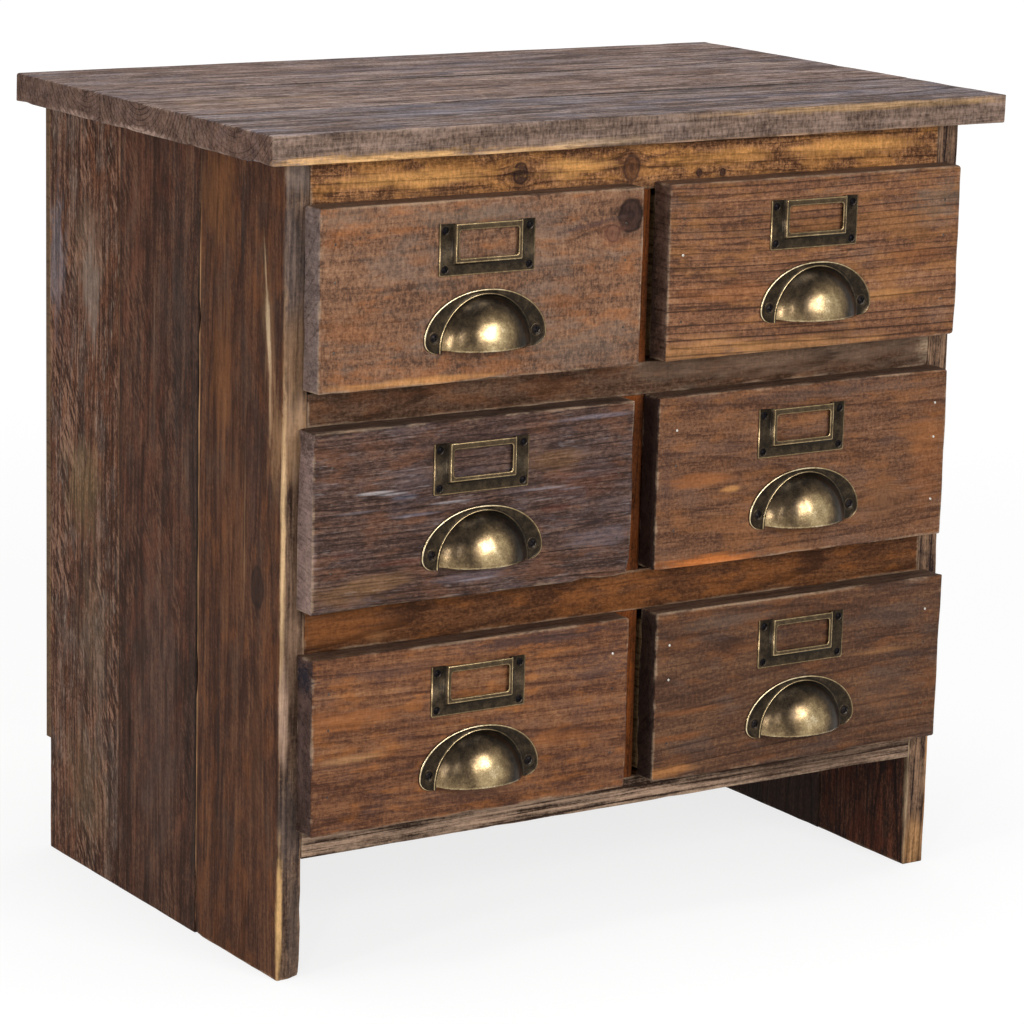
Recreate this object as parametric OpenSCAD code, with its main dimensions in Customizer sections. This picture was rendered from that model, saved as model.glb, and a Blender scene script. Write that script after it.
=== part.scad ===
// Six-drawer chest of reclaimed boards, small enough to stand beside a bed.
// Millimetres. +Z is up, the drawers open towards -Y and +X is to the right.
// The origin is the middle of the footprint, at floor level.

/* [Case] */
// Width over the two side panels
body_w = 553; // [480:1:700]
// Depth of the side panels, front edge to rear edge
side_d = 340; // [300:1:450]
// Thickness of the side planks
side_t = 18; // [15:0.5:22]
// Free height under the bottom panel
leg_h = 83.5; // [50:0.5:140]
// Thickness of the bottom panel
bottom_t = 20; // [15:0.5:26]
// Thickness of the centre divider
divider_t = 18; // [14:0.5:22]
// Thickness of the rails, front to back
rail_t = 20; // [16:0.5:26]
// Thickness of the plywood back
back_t = 6; // [4:0.5:9]

/* [Top] */
// Thickness of the top boards
top_t = 20; // [15:0.5:28]
// How far the top stands past each side panel
top_over_side = 23.5; // [10:0.5:35]
// How far the top stands past the front edges of the side panels
top_over_front = 23; // [10:0.5:35]
// Width of the front top board
top_front_w = 112; // [90:1:130]
// Width of the middle top board
top_middle_w = 127; // [100:1:140]
// Section of the square battens that hold the top
cleat = 20; // [14:0.5:22]

/* [Side planks] */
// Width of the left side's front plank
left_front_w = 115.5; // [90:0.5:130]
// Width of the left side's middle plank
left_middle_w = 115.5; // [90:0.5:130]
// Width of the right side's front plank
right_front_w = 105; // [90:0.5:130]
// Width of the right side's middle plank
right_middle_w = 120; // [90:0.5:130]

/* [Drawer fronts] */
// Height of a drawer front
front_h = 122; // [115:0.5:150]
// Thickness of a drawer front
front_t = 20; // [16:0.5:24]
// Width of side panel that shows beside the fronts
side_reveal = 12.5; // [11:0.5:15]
// Space between the two columns of fronts
centre_gap = 22; // [18:0.5:26]
// Space over the bottom panel, under the lowest fronts
front_lift = 0.5; // [0.4:0.1:2]
// Height of the lower rail that shows between the fronts
lower_reveal = 31; // [24:0.5:45]
// Height of the upper rail that shows between the fronts
upper_reveal = 25; // [20:0.5:45]
// Height of the top rail that shows over the fronts
top_reveal = 29; // [24:0.5:50]
// Height of top rail that the highest fronts cover
top_rail_lap = 5; // [1:0.5:6]
// Height of a middle rail that the fronts under it cover
rail_lap = 1; // [0:0.5:2]
// Space from a middle rail's upper edge up to the fronts over it
rail_drop = 3; // [1:0.5:5]
// Sideways offset of each hand-fitted front, in the order of DRAWERS
front_shift = [1.3, 1.1, -1.2, -2.6, 0.3, 1.5]; // [-3:0.1:3]

/* [Drawer boxes] */
// Height of the box sides
box_h = 108; // [100:0.5:109]
// Space between the boxes and the back panel
rear_space = 30; // [10:1:60]
// Thickness of the box sides and the box back
box_t = 12; // [10:0.5:15]
// Thickness of the plywood base
base_t = 4; // [3:0.5:6]
// Height of the base over the lower edge of the box sides
base_up = 6; // [4:0.5:12]
// Depth of the groove that holds the base
groove = 5; // [3:0.5:6]
// Height of the box over the lower edge of its front
box_rise = 3; // [2:0.5:6]
// Running space between a box and the side panel
side_clear = 1.5; // [0.5:0.1:2]
// Running space between a box and the guide on the divider
guide_clear = 0.5; // [0.3:0.1:1]
// Thickness of the guide on the divider
guide_t = 8.5; // [6:0.5:9]
// Height of the guide over the runner it stands on
guide_h = 24; // [12:0.5:40]
// Height of a runner
runner_h = 16; // [8:0.5:20]
// How far a runner reaches past the inner face of the box side
runner_extra = 2; // [0:0.5:6]

/* [Cup pull] */
// Width of the flange
flange_w = 96; // [90:0.5:110]
// Height of the flange over the screw line
flange_up = 30.5; // [29:0.5:34]
// Depth of the flange under the screw line
flange_down = 10.5; // [9.5:0.5:14]
// Half of the hood's width where it leaves the flange
hood_half = 34.5; // [33:0.5:36]
// How far the hood stands out from the drawer front
hood_out = 20; // [16:0.5:26]
// Depth of the hood's lip under the screw line
lip_down = 8.5; // [7.5:0.5:9]
// Thickness of the pull's metal
pull_wall = 1.2; // [0.8:0.1:2]
// Distance between the pull's two screws
pull_screws = 80; // [77:0.5:84]
// Height of the pull's screws over the lower edge of the front
pull_up = 31; // [24:0.5:36]
// Sideways offset of each hand-fitted pull on its front
pull_shift = [1, 0, 5, 1, 5, 1]; // [-6:1:6]

/* [Label holder] */
// Width of the label plate
label_w = 75; // [70:0.5:90]
// Height of the label plate
label_h = 35; // [33:0.5:40]
// Thickness of the label plate's metal
label_t = 1; // [0.8:0.1:1.5]
// Width of the raised card frame
frame_w = 52.5; // [50:0.5:56]
// Height of the raised card frame
frame_h = 26.5; // [24:0.5:30]
// How far the card frame stands out from the drawer front
frame_out = 3.5; // [3:0.1:5]
// Width of the card frame's rim round its window
frame_rim = 3; // [2:0.5:4]
// Height of the card frame's rim over its window
frame_top_rim = 4.5; // [2:0.5:6]
// Distance from the plate's edges to the middle of its screws
label_inset = 4.5; // [3:0.5:5.5]
// Distance from the front's upper edge down to the label plate
label_down = 15.5; // [6:0.5:18]
// Sideways offset of each hand-fitted label plate on its front
label_shift = [1, -4, 3, -4, 3, -1]; // [-6:1:6]

/* [Fasteners] */
// Radius of a pull screw's head
pull_head_r = 3.4; // [2.8:0.1:3.8]
// Radius of a label screw's head
label_head_r = 2.3; // [1.8:0.1:2.6]
// Radius of the shank of the pull screws
pull_shank_r = 1.8; // [1.4:0.1:2]
// Radius of the shank of the label screws
label_shank_r = 1.2; // [1:0.1:1.4]
// Length of the shank of the pull and label screws
shank_l = 14; // [8:0.5:14.5]
// Radius of a nail's head
nail_head_r = 1.5; // [1.2:0.1:1.8]
// Thickness of a nail's head
nail_head_t = 1; // [0.6:0.1:1.5]
// Radius of a nail's shank
nail_r = 0.9; // [0.7:0.1:1]
// How deep a nail bites into the box side behind the front
nail_bite = 22; // [12:0.5:30]
// Heights of the nails over the lower edge of the box sides
nail_up = [24, 70, 95]; // [16:1:96]
// Radius of the countersunk head of a cleat screw
cleat_head_r = 3.6; // [3:0.1:4.2]
// Radius of the shank of a cleat screw
cleat_shank_r = 1.7; // [1.4:0.1:2]
// How deep a cleat screw bites into the board behind the cleat
cleat_bite = 12; // [8:0.5:13]

/* [Clearances] */
// Space between parts on different moving bodies
run_gap = 0.3; // [0.2:0.05:0.5]
// Space round a fastener in its hole
hole_slack = 0.1; // [0.05:0.05:0.2]
// Space over the base in its groove
groove_slack = 0.2; // [0.1:0.05:0.5]

/* [Hidden] */
$fn = 48;
// Pieces run past a cut by this much, so that a cut leaves no skin
over = 1;

DRAWERS = ["top_left", "top_right", "middle_left", "middle_right", "bottom_left", "bottom_right"];
DRAWER_PARTS = ["front", "box_sides", "box_back", "base", "cup_pull", "label_holder", "fasteners"];
CASE_PARTS = [
    "top_front_board", "top_middle_board", "top_rear_board",
    "left_front_plank", "left_middle_plank", "left_rear_plank",
    "right_front_plank", "right_middle_plank", "right_rear_plank",
    "back_panel", "top_rail", "upper_rail", "lower_rail", "bottom_panel",
    "centre_divider", "drawer_runners", "top_cleats", "cleat_screws"];

// A drawer is known by its place in DRAWERS. Row 0 is the lowest, and side -1 is the left.
function row_of(d) = 2 - floor(d / 2);
function side_of(d) = d % 2 == 0 ? -1 : 1;

// Depth positions: y is 0 at the front edges of the side panels, until the last move
total_d = hood_out + front_t + run_gap + side_d + back_t;
body_y = hood_out + front_t + run_gap - total_d / 2;
front_face = -run_gap - front_t;
rear_face = side_d + back_t;
box_l = side_d - rear_space;
nail_l = front_t + nail_bite;
cleat_screw_l = cleat + cleat_bite;

// Heights of the rows
bottom_top = leg_h + bottom_t;
ROW_Z = [
    bottom_top + front_lift,
    bottom_top + front_lift + front_h + lower_reveal,
    bottom_top + front_lift + 2 * front_h + lower_reveal + upper_reveal];
side_h = ROW_Z[2] + front_h + top_reveal;

// Widths across the case
inner_half = body_w / 2 - side_t;
front_w = (body_w - centre_gap) / 2 - side_reveal;
front_mid = (centre_gap + front_w) / 2;
box_outer = inner_half - side_clear;
box_inner = divider_t / 2 + guide_t + guide_clear;
box_w = box_outer - box_inner;
box_mid = (box_outer + box_inner) / 2;
box_side_x = (box_w - box_t) / 2;

// The hood is part of a ball whose middle lies behind the drawer front
hood_back = (hood_half * hood_half - hood_out * hood_out) / (2 * hood_out);
hood_r = hood_out + hood_back;

// The flange is widest at ear_z, with half an ellipse over it and two rounded ears under it
ear_z = -2;
ear_round = 10;
ear_drop = flange_down + ear_z;
flange_edge = concat(
    [for (a = [0 : 6 : 180]) [flange_w / 2 * cos(a), ear_z + (flange_up - ear_z) * sin(a)]],
    [for (a = [15 : 15 : 90]) [-flange_w / 2 + ear_round * (1 - cos(a)), ear_z - ear_drop * sin(a)]],
    [for (a = [90 : -15 : 15]) [flange_w / 2 - ear_round * (1 - cos(a)), ear_z - ear_drop * sin(a)]]);

// The label plate, up from the front's lower edge, and the rounding of its corners
label_z = front_h - label_down - label_h / 2;
plate_round = 1.5;
window_round = 2;

// The height of a domed screw head, and the size of its cross, as shares of its radius
dome = 0.55;
cross_l = 1.1;
cross_w = 0.24;

// Colours as the photograph shows them
FRONT_COLOURS = ["#6f4b37", "#7a4d35", "#574038", "#744a36", "#7c4c31", "#5f3a2a"];
TOP_COLOUR = "#6b5a52";
SIDE_COLOUR = "#4a3127";
RAIL_COLOUR = "#6a4a30";
PALE_WOOD = "#b08e66";
PLYWOOD = "#c7a678";
BRASS = "#8a7448";
DARK_STEEL = "#2c2a2b";

// A box from its low corner to its high corner
module block(low, high) {
    translate(low) cube([for (i = [0 : 2]) high[i] - low[i]]);
}

// Puts the case in the part's frame
module in_case() {
    translate([0, body_y, 0]) children();
}

// Puts a drawer's pieces in the part's frame, with x from the middle of its box
module in_drawer(d) {
    in_case() translate([side_of(d) * box_mid, 0, ROW_Z[row_of(d)]]) children();
}

// Where a front's middle lies, seen from the middle of its box
function front_x(d) = side_of(d) * (front_mid - box_mid) + front_shift[d];

// Moves a flat outline drawn in x and z to the drawer front, to stand out by a height
module stand_out(height) {
    translate([0, front_face, 0]) rotate([90, 0, 0]) linear_extrude(height) children();
}

module round_rect(w, h, r) {
    square([w - 2 * r, h], center = true);
    square([w, h - 2 * r], center = true);
    for (x = [-1, 1], z = [-1, 1])
        translate([x * (w / 2 - r), z * (h / 2 - r)]) circle(r);
}

// The two bars of the cross in a screw's head
module cross(head_r, depth) {
    for (a = [0, 90])
        rotate([0, 0, a]) cube([head_r * cross_l, head_r * cross_w, depth * 2], center = true);
}

// A screw with a domed head, its axis along z, the head over z = 0
// With slack it is the cutter for its own hole, as are the two under it
module pan_screw(head_r, shank_r, slack = 0) {
    head_h = head_r * dome;
    translate([0, 0, -shank_l - slack])
        cylinder(r = shank_r + slack, h = shank_l + slack + head_h / 3);
    if (slack == 0)
        difference() {
            rotate_extrude() polygon(concat(
                [[0, 0]], [for (a = [0 : 22.5 : 90]) [head_r * cos(a), head_h * sin(a)]]));
            translate([0, 0, head_h]) cross(head_r, head_h / 2);
        }
}

// A nail driven flush, its axis along z, its head's face at z = 0
module nail(slack = 0) {
    lift = slack > 0 ? over : 0;
    translate([0, 0, -nail_l - slack]) cylinder(r = nail_r + slack, h = nail_l + slack);
    translate([0, 0, -nail_head_t - slack])
        cylinder(r = nail_head_r + slack, h = nail_head_t + slack + lift);
}

// A countersunk screw, its axis along z, its head's face at z = 0
module flat_screw(slack = 0) {
    sink = cleat_head_r - cleat_shank_r;
    difference() {
        union() {
            translate([0, 0, -cleat_screw_l - slack])
                cylinder(r = cleat_shank_r + slack, h = cleat_screw_l + slack);
            translate([0, 0, -sink])
                cylinder(r1 = cleat_shank_r + slack, r2 = cleat_head_r + slack, h = sink);
        }
        if (slack == 0)
            cross(cleat_head_r, sink / 2);
    }
    if (slack > 0)
        cylinder(r = cleat_head_r + slack, h = over);
}

// Puts its child at each pull screw, head outwards, in a drawer's own frame
module at_pull_screws(d, proud) {
    for (s = [-1, 1])
        translate([front_x(d) + pull_shift[d] + s * pull_screws / 2, front_face - proud, pull_up])
            rotate([90, 0, 0]) children();
}

// Puts its child at each label screw, head outwards
module at_label_screws(d, proud) {
    for (s = [-1, 1], t = [-1, 1])
        translate([
            front_x(d) + label_shift[d] + s * (label_w / 2 - label_inset),
            front_face - proud,
            label_z + t * (label_h / 2 - label_inset)])
            rotate([90, 0, 0]) children();
}

// Puts its child at each nail, over the middle of the box sides
module at_nails() {
    for (s = [-1, 1], z = nail_up)
        translate([s * box_side_x, front_face, box_rise + z]) rotate([90, 0, 0]) children();
}

// The top's board edges, from the front overhang to the rear face
TOP_Y = [
    -top_over_front, -top_over_front + top_front_w,
    -top_over_front + top_front_w + top_middle_w, rear_face];
LEFT_Y = [0, left_front_w, left_front_w + left_middle_w, side_d];
RIGHT_Y = [0, right_front_w, right_front_w + right_middle_w, side_d];
cleat_x = inner_half - cleat / 2;
cleat_z = side_h - cleat / 2;
// Where each level cleat screw sits, as a share of its plank's width
cleat_spot = 0.72;

// Puts its child at each upright cleat screw, head down, one in each top board
module at_top_screws() {
    for (s = [-1, 1], i = [0 : 2])
        translate([s * cleat_x, (max(TOP_Y[i], rail_t) + min(TOP_Y[i + 1], side_d)) / 2, side_h - cleat])
            rotate([180, 0, 0]) children();
}

// Puts its child at each level cleat screw, head inwards, one in each side plank
module at_side_screws(s) {
    planks = s < 0 ? LEFT_Y : RIGHT_Y;
    for (i = [0 : 2])
        translate([
            s * (inner_half - cleat),
            planks[i] + (planks[i + 1] - planks[i]) * cleat_spot,
            cleat_z])
            rotate([0, -s * 90, 0]) children();
}

module top_board(i) {
    color(TOP_COLOUR) in_case() difference() {
        block(
            [-body_w / 2 - top_over_side, TOP_Y[i], side_h],
            [body_w / 2 + top_over_side, TOP_Y[i + 1], side_h + top_t]);
        at_top_screws() flat_screw(hole_slack);
    }
}

module side_plank(s, i) {
    edges = s < 0 ? LEFT_Y : RIGHT_Y;
    color(SIDE_COLOUR) in_case() difference() {
        translate([s * (body_w - side_t) / 2 - side_t / 2, edges[i], 0])
            cube([side_t, edges[i + 1] - edges[i], side_h]);
        at_side_screws(s) flat_screw(hole_slack);
    }
}

// The plywood back lies over the rear edges of the side panels
module back_panel() {
    color(PLYWOOD) in_case()
        block([-body_w / 2, side_d, leg_h + front_lift], [body_w / 2, rear_face, side_h]);
}

module rail(low, high) {
    color(RAIL_COLOUR) in_case() block([-inner_half, 0, low], [inner_half, rail_t, high]);
}

module top_rail() {
    rail(ROW_Z[2] + front_h - top_rail_lap, side_h);
}

// The rail between one row of fronts and the row over it
module middle_rail(row) {
    rail(ROW_Z[row] + front_h - rail_lap, ROW_Z[row + 1] - rail_drop);
}

module bottom_panel() {
    color(RAIL_COLOUR) in_case() block([-inner_half, 0, leg_h], [inner_half, side_d, bottom_top]);
}

// The divider is notched at its front edge, round the three rails
module centre_divider() {
    color(RAIL_COLOUR) in_case() difference() {
        block([-divider_t / 2, 0, bottom_top], [divider_t / 2, side_d, side_h]);
        block(
            [-divider_t / 2 - over, -over, ROW_Z[2] + front_h - top_rail_lap],
            [divider_t / 2 + over, rail_t, side_h + over]);
        for (row = [0, 1])
            block(
                [-divider_t / 2 - over, -over, ROW_Z[row] + front_h - rail_lap],
                [divider_t / 2 + over, rail_t, ROW_Z[row + 1] - rail_drop]);
    }
}

// A batten on the side panel and a guided one on the divider carry each drawer.
// The lowest ones are thin slips that lie on the bottom panel.
module drawer_runners() {
    color(PALE_WOOD) in_case() for (row = [0 : 2], flip = [0, 1]) mirror([flip, 0, 0]) {
        high = ROW_Z[row] + box_rise - run_gap;
        low = row == 0 ? bottom_top : high - runner_h;
        block([box_outer - box_t - runner_extra, rail_t, low], [inner_half, side_d, high]);
        block([divider_t / 2, rail_t, low], [box_inner + box_t + runner_extra, side_d, high]);
        block([divider_t / 2, rail_t, low], [divider_t / 2 + guide_t, side_d, high + guide_h]);
    }
}

module top_cleats() {
    color(PALE_WOOD) in_case() for (s = [-1, 1]) difference() {
        translate([s * cleat_x - cleat / 2, rail_t, side_h - cleat])
            cube([cleat, side_d - rail_t, cleat]);
        at_top_screws() flat_screw(hole_slack);
        at_side_screws(s) flat_screw(hole_slack);
    }
}

module cleat_screws() {
    color(DARK_STEEL) in_case() {
        at_top_screws() flat_screw();
        for (s = [-1, 1])
            at_side_screws(s) flat_screw();
    }
}

module drawer_front(d) {
    color(FRONT_COLOURS[d]) in_drawer(d) difference() {
        block(
            [front_x(d) - front_w / 2, front_face, 0],
            [front_x(d) + front_w / 2, -run_gap, front_h]);
        at_pull_screws(d, 0) pan_screw(pull_head_r, pull_shank_r, hole_slack);
        at_label_screws(d, 0) pan_screw(label_head_r, label_shank_r, hole_slack);
        at_nails() nail(hole_slack);
    }
}

module box_sides(d) {
    color(PALE_WOOD) in_drawer(d) difference() {
        for (s = [-1, 1])
            translate([s * box_side_x - box_t / 2, -run_gap, box_rise])
                cube([box_t, box_l + run_gap, box_h]);
        block(
            [-box_w / 2 + box_t - groove, -run_gap - over, box_rise + base_up],
            [box_w / 2 - box_t + groove, box_l + over, box_rise + base_up + base_t + groove_slack]);
        at_nails() nail(hole_slack);
    }
}

// The back stands on the base, between the sides
module box_back(d) {
    color(PALE_WOOD) in_drawer(d) block(
        [-box_w / 2 + box_t, box_l - box_t, box_rise + base_up + base_t],
        [box_w / 2 - box_t, box_l, box_rise + box_h]);
}

module base(d) {
    half = box_w / 2 - box_t + groove - groove_slack;
    color(PLYWOOD) in_drawer(d) block(
        [-half, -run_gap, box_rise + base_up],
        [half, box_l, box_rise + base_up + base_t]);
}

module cup_pull(d) {
    color(BRASS) in_drawer(d) translate([front_x(d) + pull_shift[d], 0, pull_up]) difference() {
        union() {
            stand_out(pull_wall) polygon(flange_edge);
            intersection() {
                translate([0, front_face + hood_back, -lip_down]) sphere(r = hood_r, $fn = 96);
                block([-hood_r, front_face - hood_out - over, -lip_down], [hood_r, front_face, hood_r]);
            }
        }
        translate([0, front_face + hood_back, -lip_down]) sphere(r = hood_r - pull_wall, $fn = 96);
        for (s = [-1, 1])
            translate([s * pull_screws / 2, front_face + over, 0]) rotate([90, 0, 0])
                cylinder(r = pull_shank_r + hole_slack, h = pull_wall + 2 * over);
    }
}

// A stamped plate, with a raised frame that is open at its upper edge to take a card
module label_holder(d) {
    frame_z = (label_h - frame_h) / 2;
    window_w = frame_w - 2 * frame_rim;
    window_h = frame_h - frame_rim - frame_top_rim;
    window_z = frame_z + (frame_rim - frame_top_rim) / 2;
    color(BRASS) in_drawer(d) translate([front_x(d) + label_shift[d], 0, label_z]) difference() {
        union() {
            stand_out(label_t) round_rect(label_w, label_h, plate_round);
            stand_out(frame_out) translate([0, frame_z]) square([frame_w, frame_h], center = true);
        }
        block(
            [-frame_w / 2 + label_t, front_face - frame_out + label_t, frame_z - frame_h / 2 + label_t],
            [frame_w / 2 - label_t, front_face + over, frame_z + frame_h / 2 + over]);
        translate([0, over, 0]) stand_out(frame_out + 2 * over)
            translate([0, window_z]) round_rect(window_w, window_h, window_round);
        for (s = [-1, 1], t = [-1, 1])
            translate([s * (label_w / 2 - label_inset), front_face + over, t * (label_h / 2 - label_inset)])
                rotate([90, 0, 0]) cylinder(r = label_shank_r + hole_slack, h = label_t + 2 * over);
    }
}

// Pull screws, label screws and nails
module fasteners(d) {
    color(DARK_STEEL) in_drawer(d) {
        at_pull_screws(d, pull_wall) pan_screw(pull_head_r, pull_shank_r);
        at_label_screws(d, label_t) pan_screw(label_head_r, label_shank_r);
        at_nails() nail();
    }
}

top_board(0);  // top_front_board
top_board(1);  // top_middle_board
top_board(2);  // top_rear_board
side_plank(-1, 0);  // left_front_plank
side_plank(-1, 1);  // left_middle_plank
side_plank(-1, 2);  // left_rear_plank
side_plank(1, 0);  // right_front_plank
side_plank(1, 1);  // right_middle_plank
side_plank(1, 2);  // right_rear_plank
back_panel();
top_rail();
middle_rail(1);  // upper_rail
middle_rail(0);  // lower_rail
bottom_panel();
centre_divider();
drawer_runners();
top_cleats();
cleat_screws();
for (d = [0 : 5]) {
    drawer_front(d);
    box_sides(d);
    box_back(d);
    base(d);
    cup_pull(d);
    label_holder(d);
    fasteners(d);
}
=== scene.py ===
import math
import random

import bmesh
import bpy
from mathutils import Matrix, Vector, noise


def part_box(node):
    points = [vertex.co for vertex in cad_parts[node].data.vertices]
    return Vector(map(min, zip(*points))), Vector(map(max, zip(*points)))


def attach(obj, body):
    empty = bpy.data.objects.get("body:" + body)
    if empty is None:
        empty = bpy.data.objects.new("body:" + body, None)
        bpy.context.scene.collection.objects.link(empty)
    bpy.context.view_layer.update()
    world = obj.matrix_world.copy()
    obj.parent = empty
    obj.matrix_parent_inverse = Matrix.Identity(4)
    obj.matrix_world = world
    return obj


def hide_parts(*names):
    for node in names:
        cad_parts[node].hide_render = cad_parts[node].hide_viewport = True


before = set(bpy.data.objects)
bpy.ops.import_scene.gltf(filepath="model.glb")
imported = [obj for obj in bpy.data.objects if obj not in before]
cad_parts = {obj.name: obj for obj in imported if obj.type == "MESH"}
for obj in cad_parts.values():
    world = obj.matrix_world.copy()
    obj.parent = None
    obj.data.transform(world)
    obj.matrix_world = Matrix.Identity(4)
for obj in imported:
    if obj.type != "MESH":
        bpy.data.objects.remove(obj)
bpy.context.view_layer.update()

# A rustic nightstand of reclaimed boards, with six drawers and antique brass pulls.
# Metres, +Z up, the drawers open towards -Y. Board marks and fittings are measured in millimetres.
# Colours are written as a screen shows them, red, green and blue from 0 to 255.

MM = 0.001
DRAWERS = ("top_left", "top_right", "middle_left", "middle_right", "bottom_left", "bottom_right")


def paint(colour):
    """A screen's colour as the linear colour that a shader uses."""
    linear = []
    for value in colour:
        share = value / 255
        linear.append(share / 12.92 if share < 0.04 else ((share + 0.055) / 1.055) ** 2.4)
    return (*linear, 1.0)


class Value:
    """One output of a node, so that shader maths reads as sums."""

    def __init__(self, nodes, socket):
        self.nodes = nodes
        self.socket = socket

    def __add__(self, other):
        return self.nodes.math("ADD", self, other)

    def __radd__(self, other):
        return self.nodes.math("ADD", other, self)

    def __sub__(self, other):
        return self.nodes.math("SUBTRACT", self, other)

    def __rsub__(self, other):
        return self.nodes.math("SUBTRACT", other, self)

    def __mul__(self, other):
        return self.nodes.math("MULTIPLY", self, other)

    def __truediv__(self, other):
        return self.nodes.math("DIVIDE", self, other)

    def __pow__(self, other):
        return self.nodes.math("POWER", self, other)

    def __abs__(self):
        return self.nodes.math("ABSOLUTE", self)


class Nodes:
    """A node tree, and the few kinds of node that the materials and the world here are made of."""

    def __init__(self, tree):
        self.tree = tree
        self.tree.nodes.clear()

    def node(self, kind, settings, values, out=0):
        """Adds a node, sets its settings and then its sockets, and gives back its outputs."""
        made = self.tree.nodes.new(kind)
        for name, setting in settings.items():
            if name == "stops":
                self.set_stops(made.color_ramp.elements, setting)
            else:
                setattr(made, name, setting)
        for name, value in values.items():
            if isinstance(value, Value):
                self.tree.links.new(value.socket, made.inputs[name])
            else:
                made.inputs[name].default_value = value
        if out is None:
            return None
        if isinstance(out, tuple):
            return [Value(self, made.outputs[name]) for name in out]
        return Value(self, made.outputs[out])

    def set_stops(self, elements, stops):
        while len(elements) < len(stops):
            elements.new(0.5)
        for element, (place, colour) in zip(elements, stops):
            element.position = place
            element.color = colour

    def math(self, operation, first, second=0.0):
        return self.node("ShaderNodeMath", {"operation": operation}, {0: first, 1: second})

    def span(self, value, low, high):
        """Rises smoothly from 0 at low to 1 at high. Low may be the larger of the two."""
        return self.node(
            "ShaderNodeMapRange", {"interpolation_type": "SMOOTHSTEP"},
            {"Value": value, "From Min": low, "From Max": high})

    def ramp(self, value, stops):
        return self.node("ShaderNodeValToRGB", {"stops": stops}, {"Fac": value})

    def mix(self, under, over, share):
        return self.node(
            "ShaderNodeMix", {"data_type": "RGBA"}, {"Factor": share, 6: under, 7: over}, out=2)

    def place(self, vector, scale, shift=(0, 0, 0), turn=(0, 0, 0)):
        return self.node(
            "ShaderNodeMapping", {},
            {"Vector": vector, "Scale": scale, "Location": shift, "Rotation": turn})

    def vector(self, x, y, z):
        return self.node("ShaderNodeCombineXYZ", {}, {"X": x, "Y": y, "Z": z})

    def parts(self, vector):
        return self.node("ShaderNodeSeparateXYZ", {}, {"Vector": vector}, out=("X", "Y", "Z"))

    def length(self, vector):
        return self.node("ShaderNodeVectorMath", {"operation": "LENGTH"}, {0: vector}, out="Value")

    def grain_noise(self, vector, detail=2.0, rough=0.55):
        return self.node(
            "ShaderNodeTexNoise", {},
            {"Vector": vector, "Scale": 1.0, "Detail": detail, "Roughness": rough})

    def seen(self):
        """1 for what the camera sees, in metal too, and 0 for the light that falls on things."""
        camera, glossy, through = self.node(
            "ShaderNodeLightPath", {}, {},
            out=("Is Camera Ray", "Is Glossy Ray", "Is Transmission Ray"))
        return camera + glossy + through


class Finish(Nodes):
    """A material."""

    def __init__(self, name):
        self.material = bpy.data.materials.new(name)
        self.material.use_nodes = True
        super().__init__(self.material.node_tree)
        self.position, self.normal = self.node(
            "ShaderNodeTexCoord", {}, {}, out=("Object", "Normal"))

    def surface(self, colour, rough, height, depth, metal=0.0, shine=0.12):
        """The shader itself. Depth is how far, in metres, the height stands up."""
        bump = self.node(
            "ShaderNodeBump", {}, {"Strength": 1.0, "Distance": depth, "Height": height})
        shader = self.node(
            "ShaderNodeBsdfPrincipled", {},
            {"Base Color": colour, "Roughness": rough, "Metallic": metal,
             "Specular IOR Level": shine, "Normal": bump})
        self.node("ShaderNodeOutputMaterial", {}, {"Surface": shader}, out=None)
        return self.material


class Board:
    """The box that a board fills, and which way its grain runs."""

    def __init__(self, node, along, across):
        low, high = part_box(node)
        self.low = Vector(low)
        self.high = Vector(high)
        self.along = along
        self.across = across
        self.deep = 3 - along - across
        self.centre = (self.low + self.high) / 2
        self.half = (self.high - self.low) / 2


# What a board looks like when nothing else is said. Its wood is dark, middle and light, and each
# stain, face and arris ends with the share of it that shows. Fuzz, fibres, bands, blotches, ticks,
# saw, rings, veins and whiskers say how strongly each of these patterns shows.
PLAIN_LOOK = dict(
    wood=((74, 57, 43), (120, 90, 68), (150, 114, 88)),
    fuzz=0.5, fibres=0.3, bands=0.3, blotches=0.25,
    rings=0.35, ring_gap=4.5, pith=(20, 45), tilt=0.04, wander=14,
    fine=(260, 560, 560), ticks=0.3, saw=0.4, veins=0.2, whiskers=0.0,
    warm=((150, 88, 48), 0.35), grey=((104, 96, 88), 0.25),
    scratch=((190, 178, 165), 0.0), hair=(16, 520, 520), end_rings=0.12,
    end=((60, 46, 40), (105, 86, 76), 0.8),
    side=((46, 34, 28), (104, 84, 70), 0.8), side_pattern=(0.9, 0.6, 0.8, 0.2),
    arris=((162, 138, 114), 0.5),
    knots=(), marks=(), rough=0.65, shine=0.08, depth=0.4)


# How fine each pattern is, in cells to the metre along the grain, across it and into the board
WANDER_FINE = (2.2, 5, 5)
RAGGED_FINE = (40, 210, 210)
FIBRES_FINE = (11, 330, 330)
VEINS_FINE = (4.5, 95, 95)
BANDS_FINE = (2.4, 60, 60)
BLOTCHES_FINE = (34, 90, 90)
PATCHES_FINE = (5, 16, 16)
TICKS_FINE = (520, 170, 170)
CUTS_FINE = (60, 480, 120)
WARM_FINE = (36, 100, 100)
GREY_FINE = (24, 70, 70)
WHISKERS_FINE = (55, 330, 330)
TORN_FINE = (11, 24, 24)
WHISKER_SLANT = -33
# How far from an arris its wear starts to show, and where it is full, in metres
ARRIS_WIDE = 0.0022
ARRIS_FULL = 0.0004
ANY_DEPTH = 1e5


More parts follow.
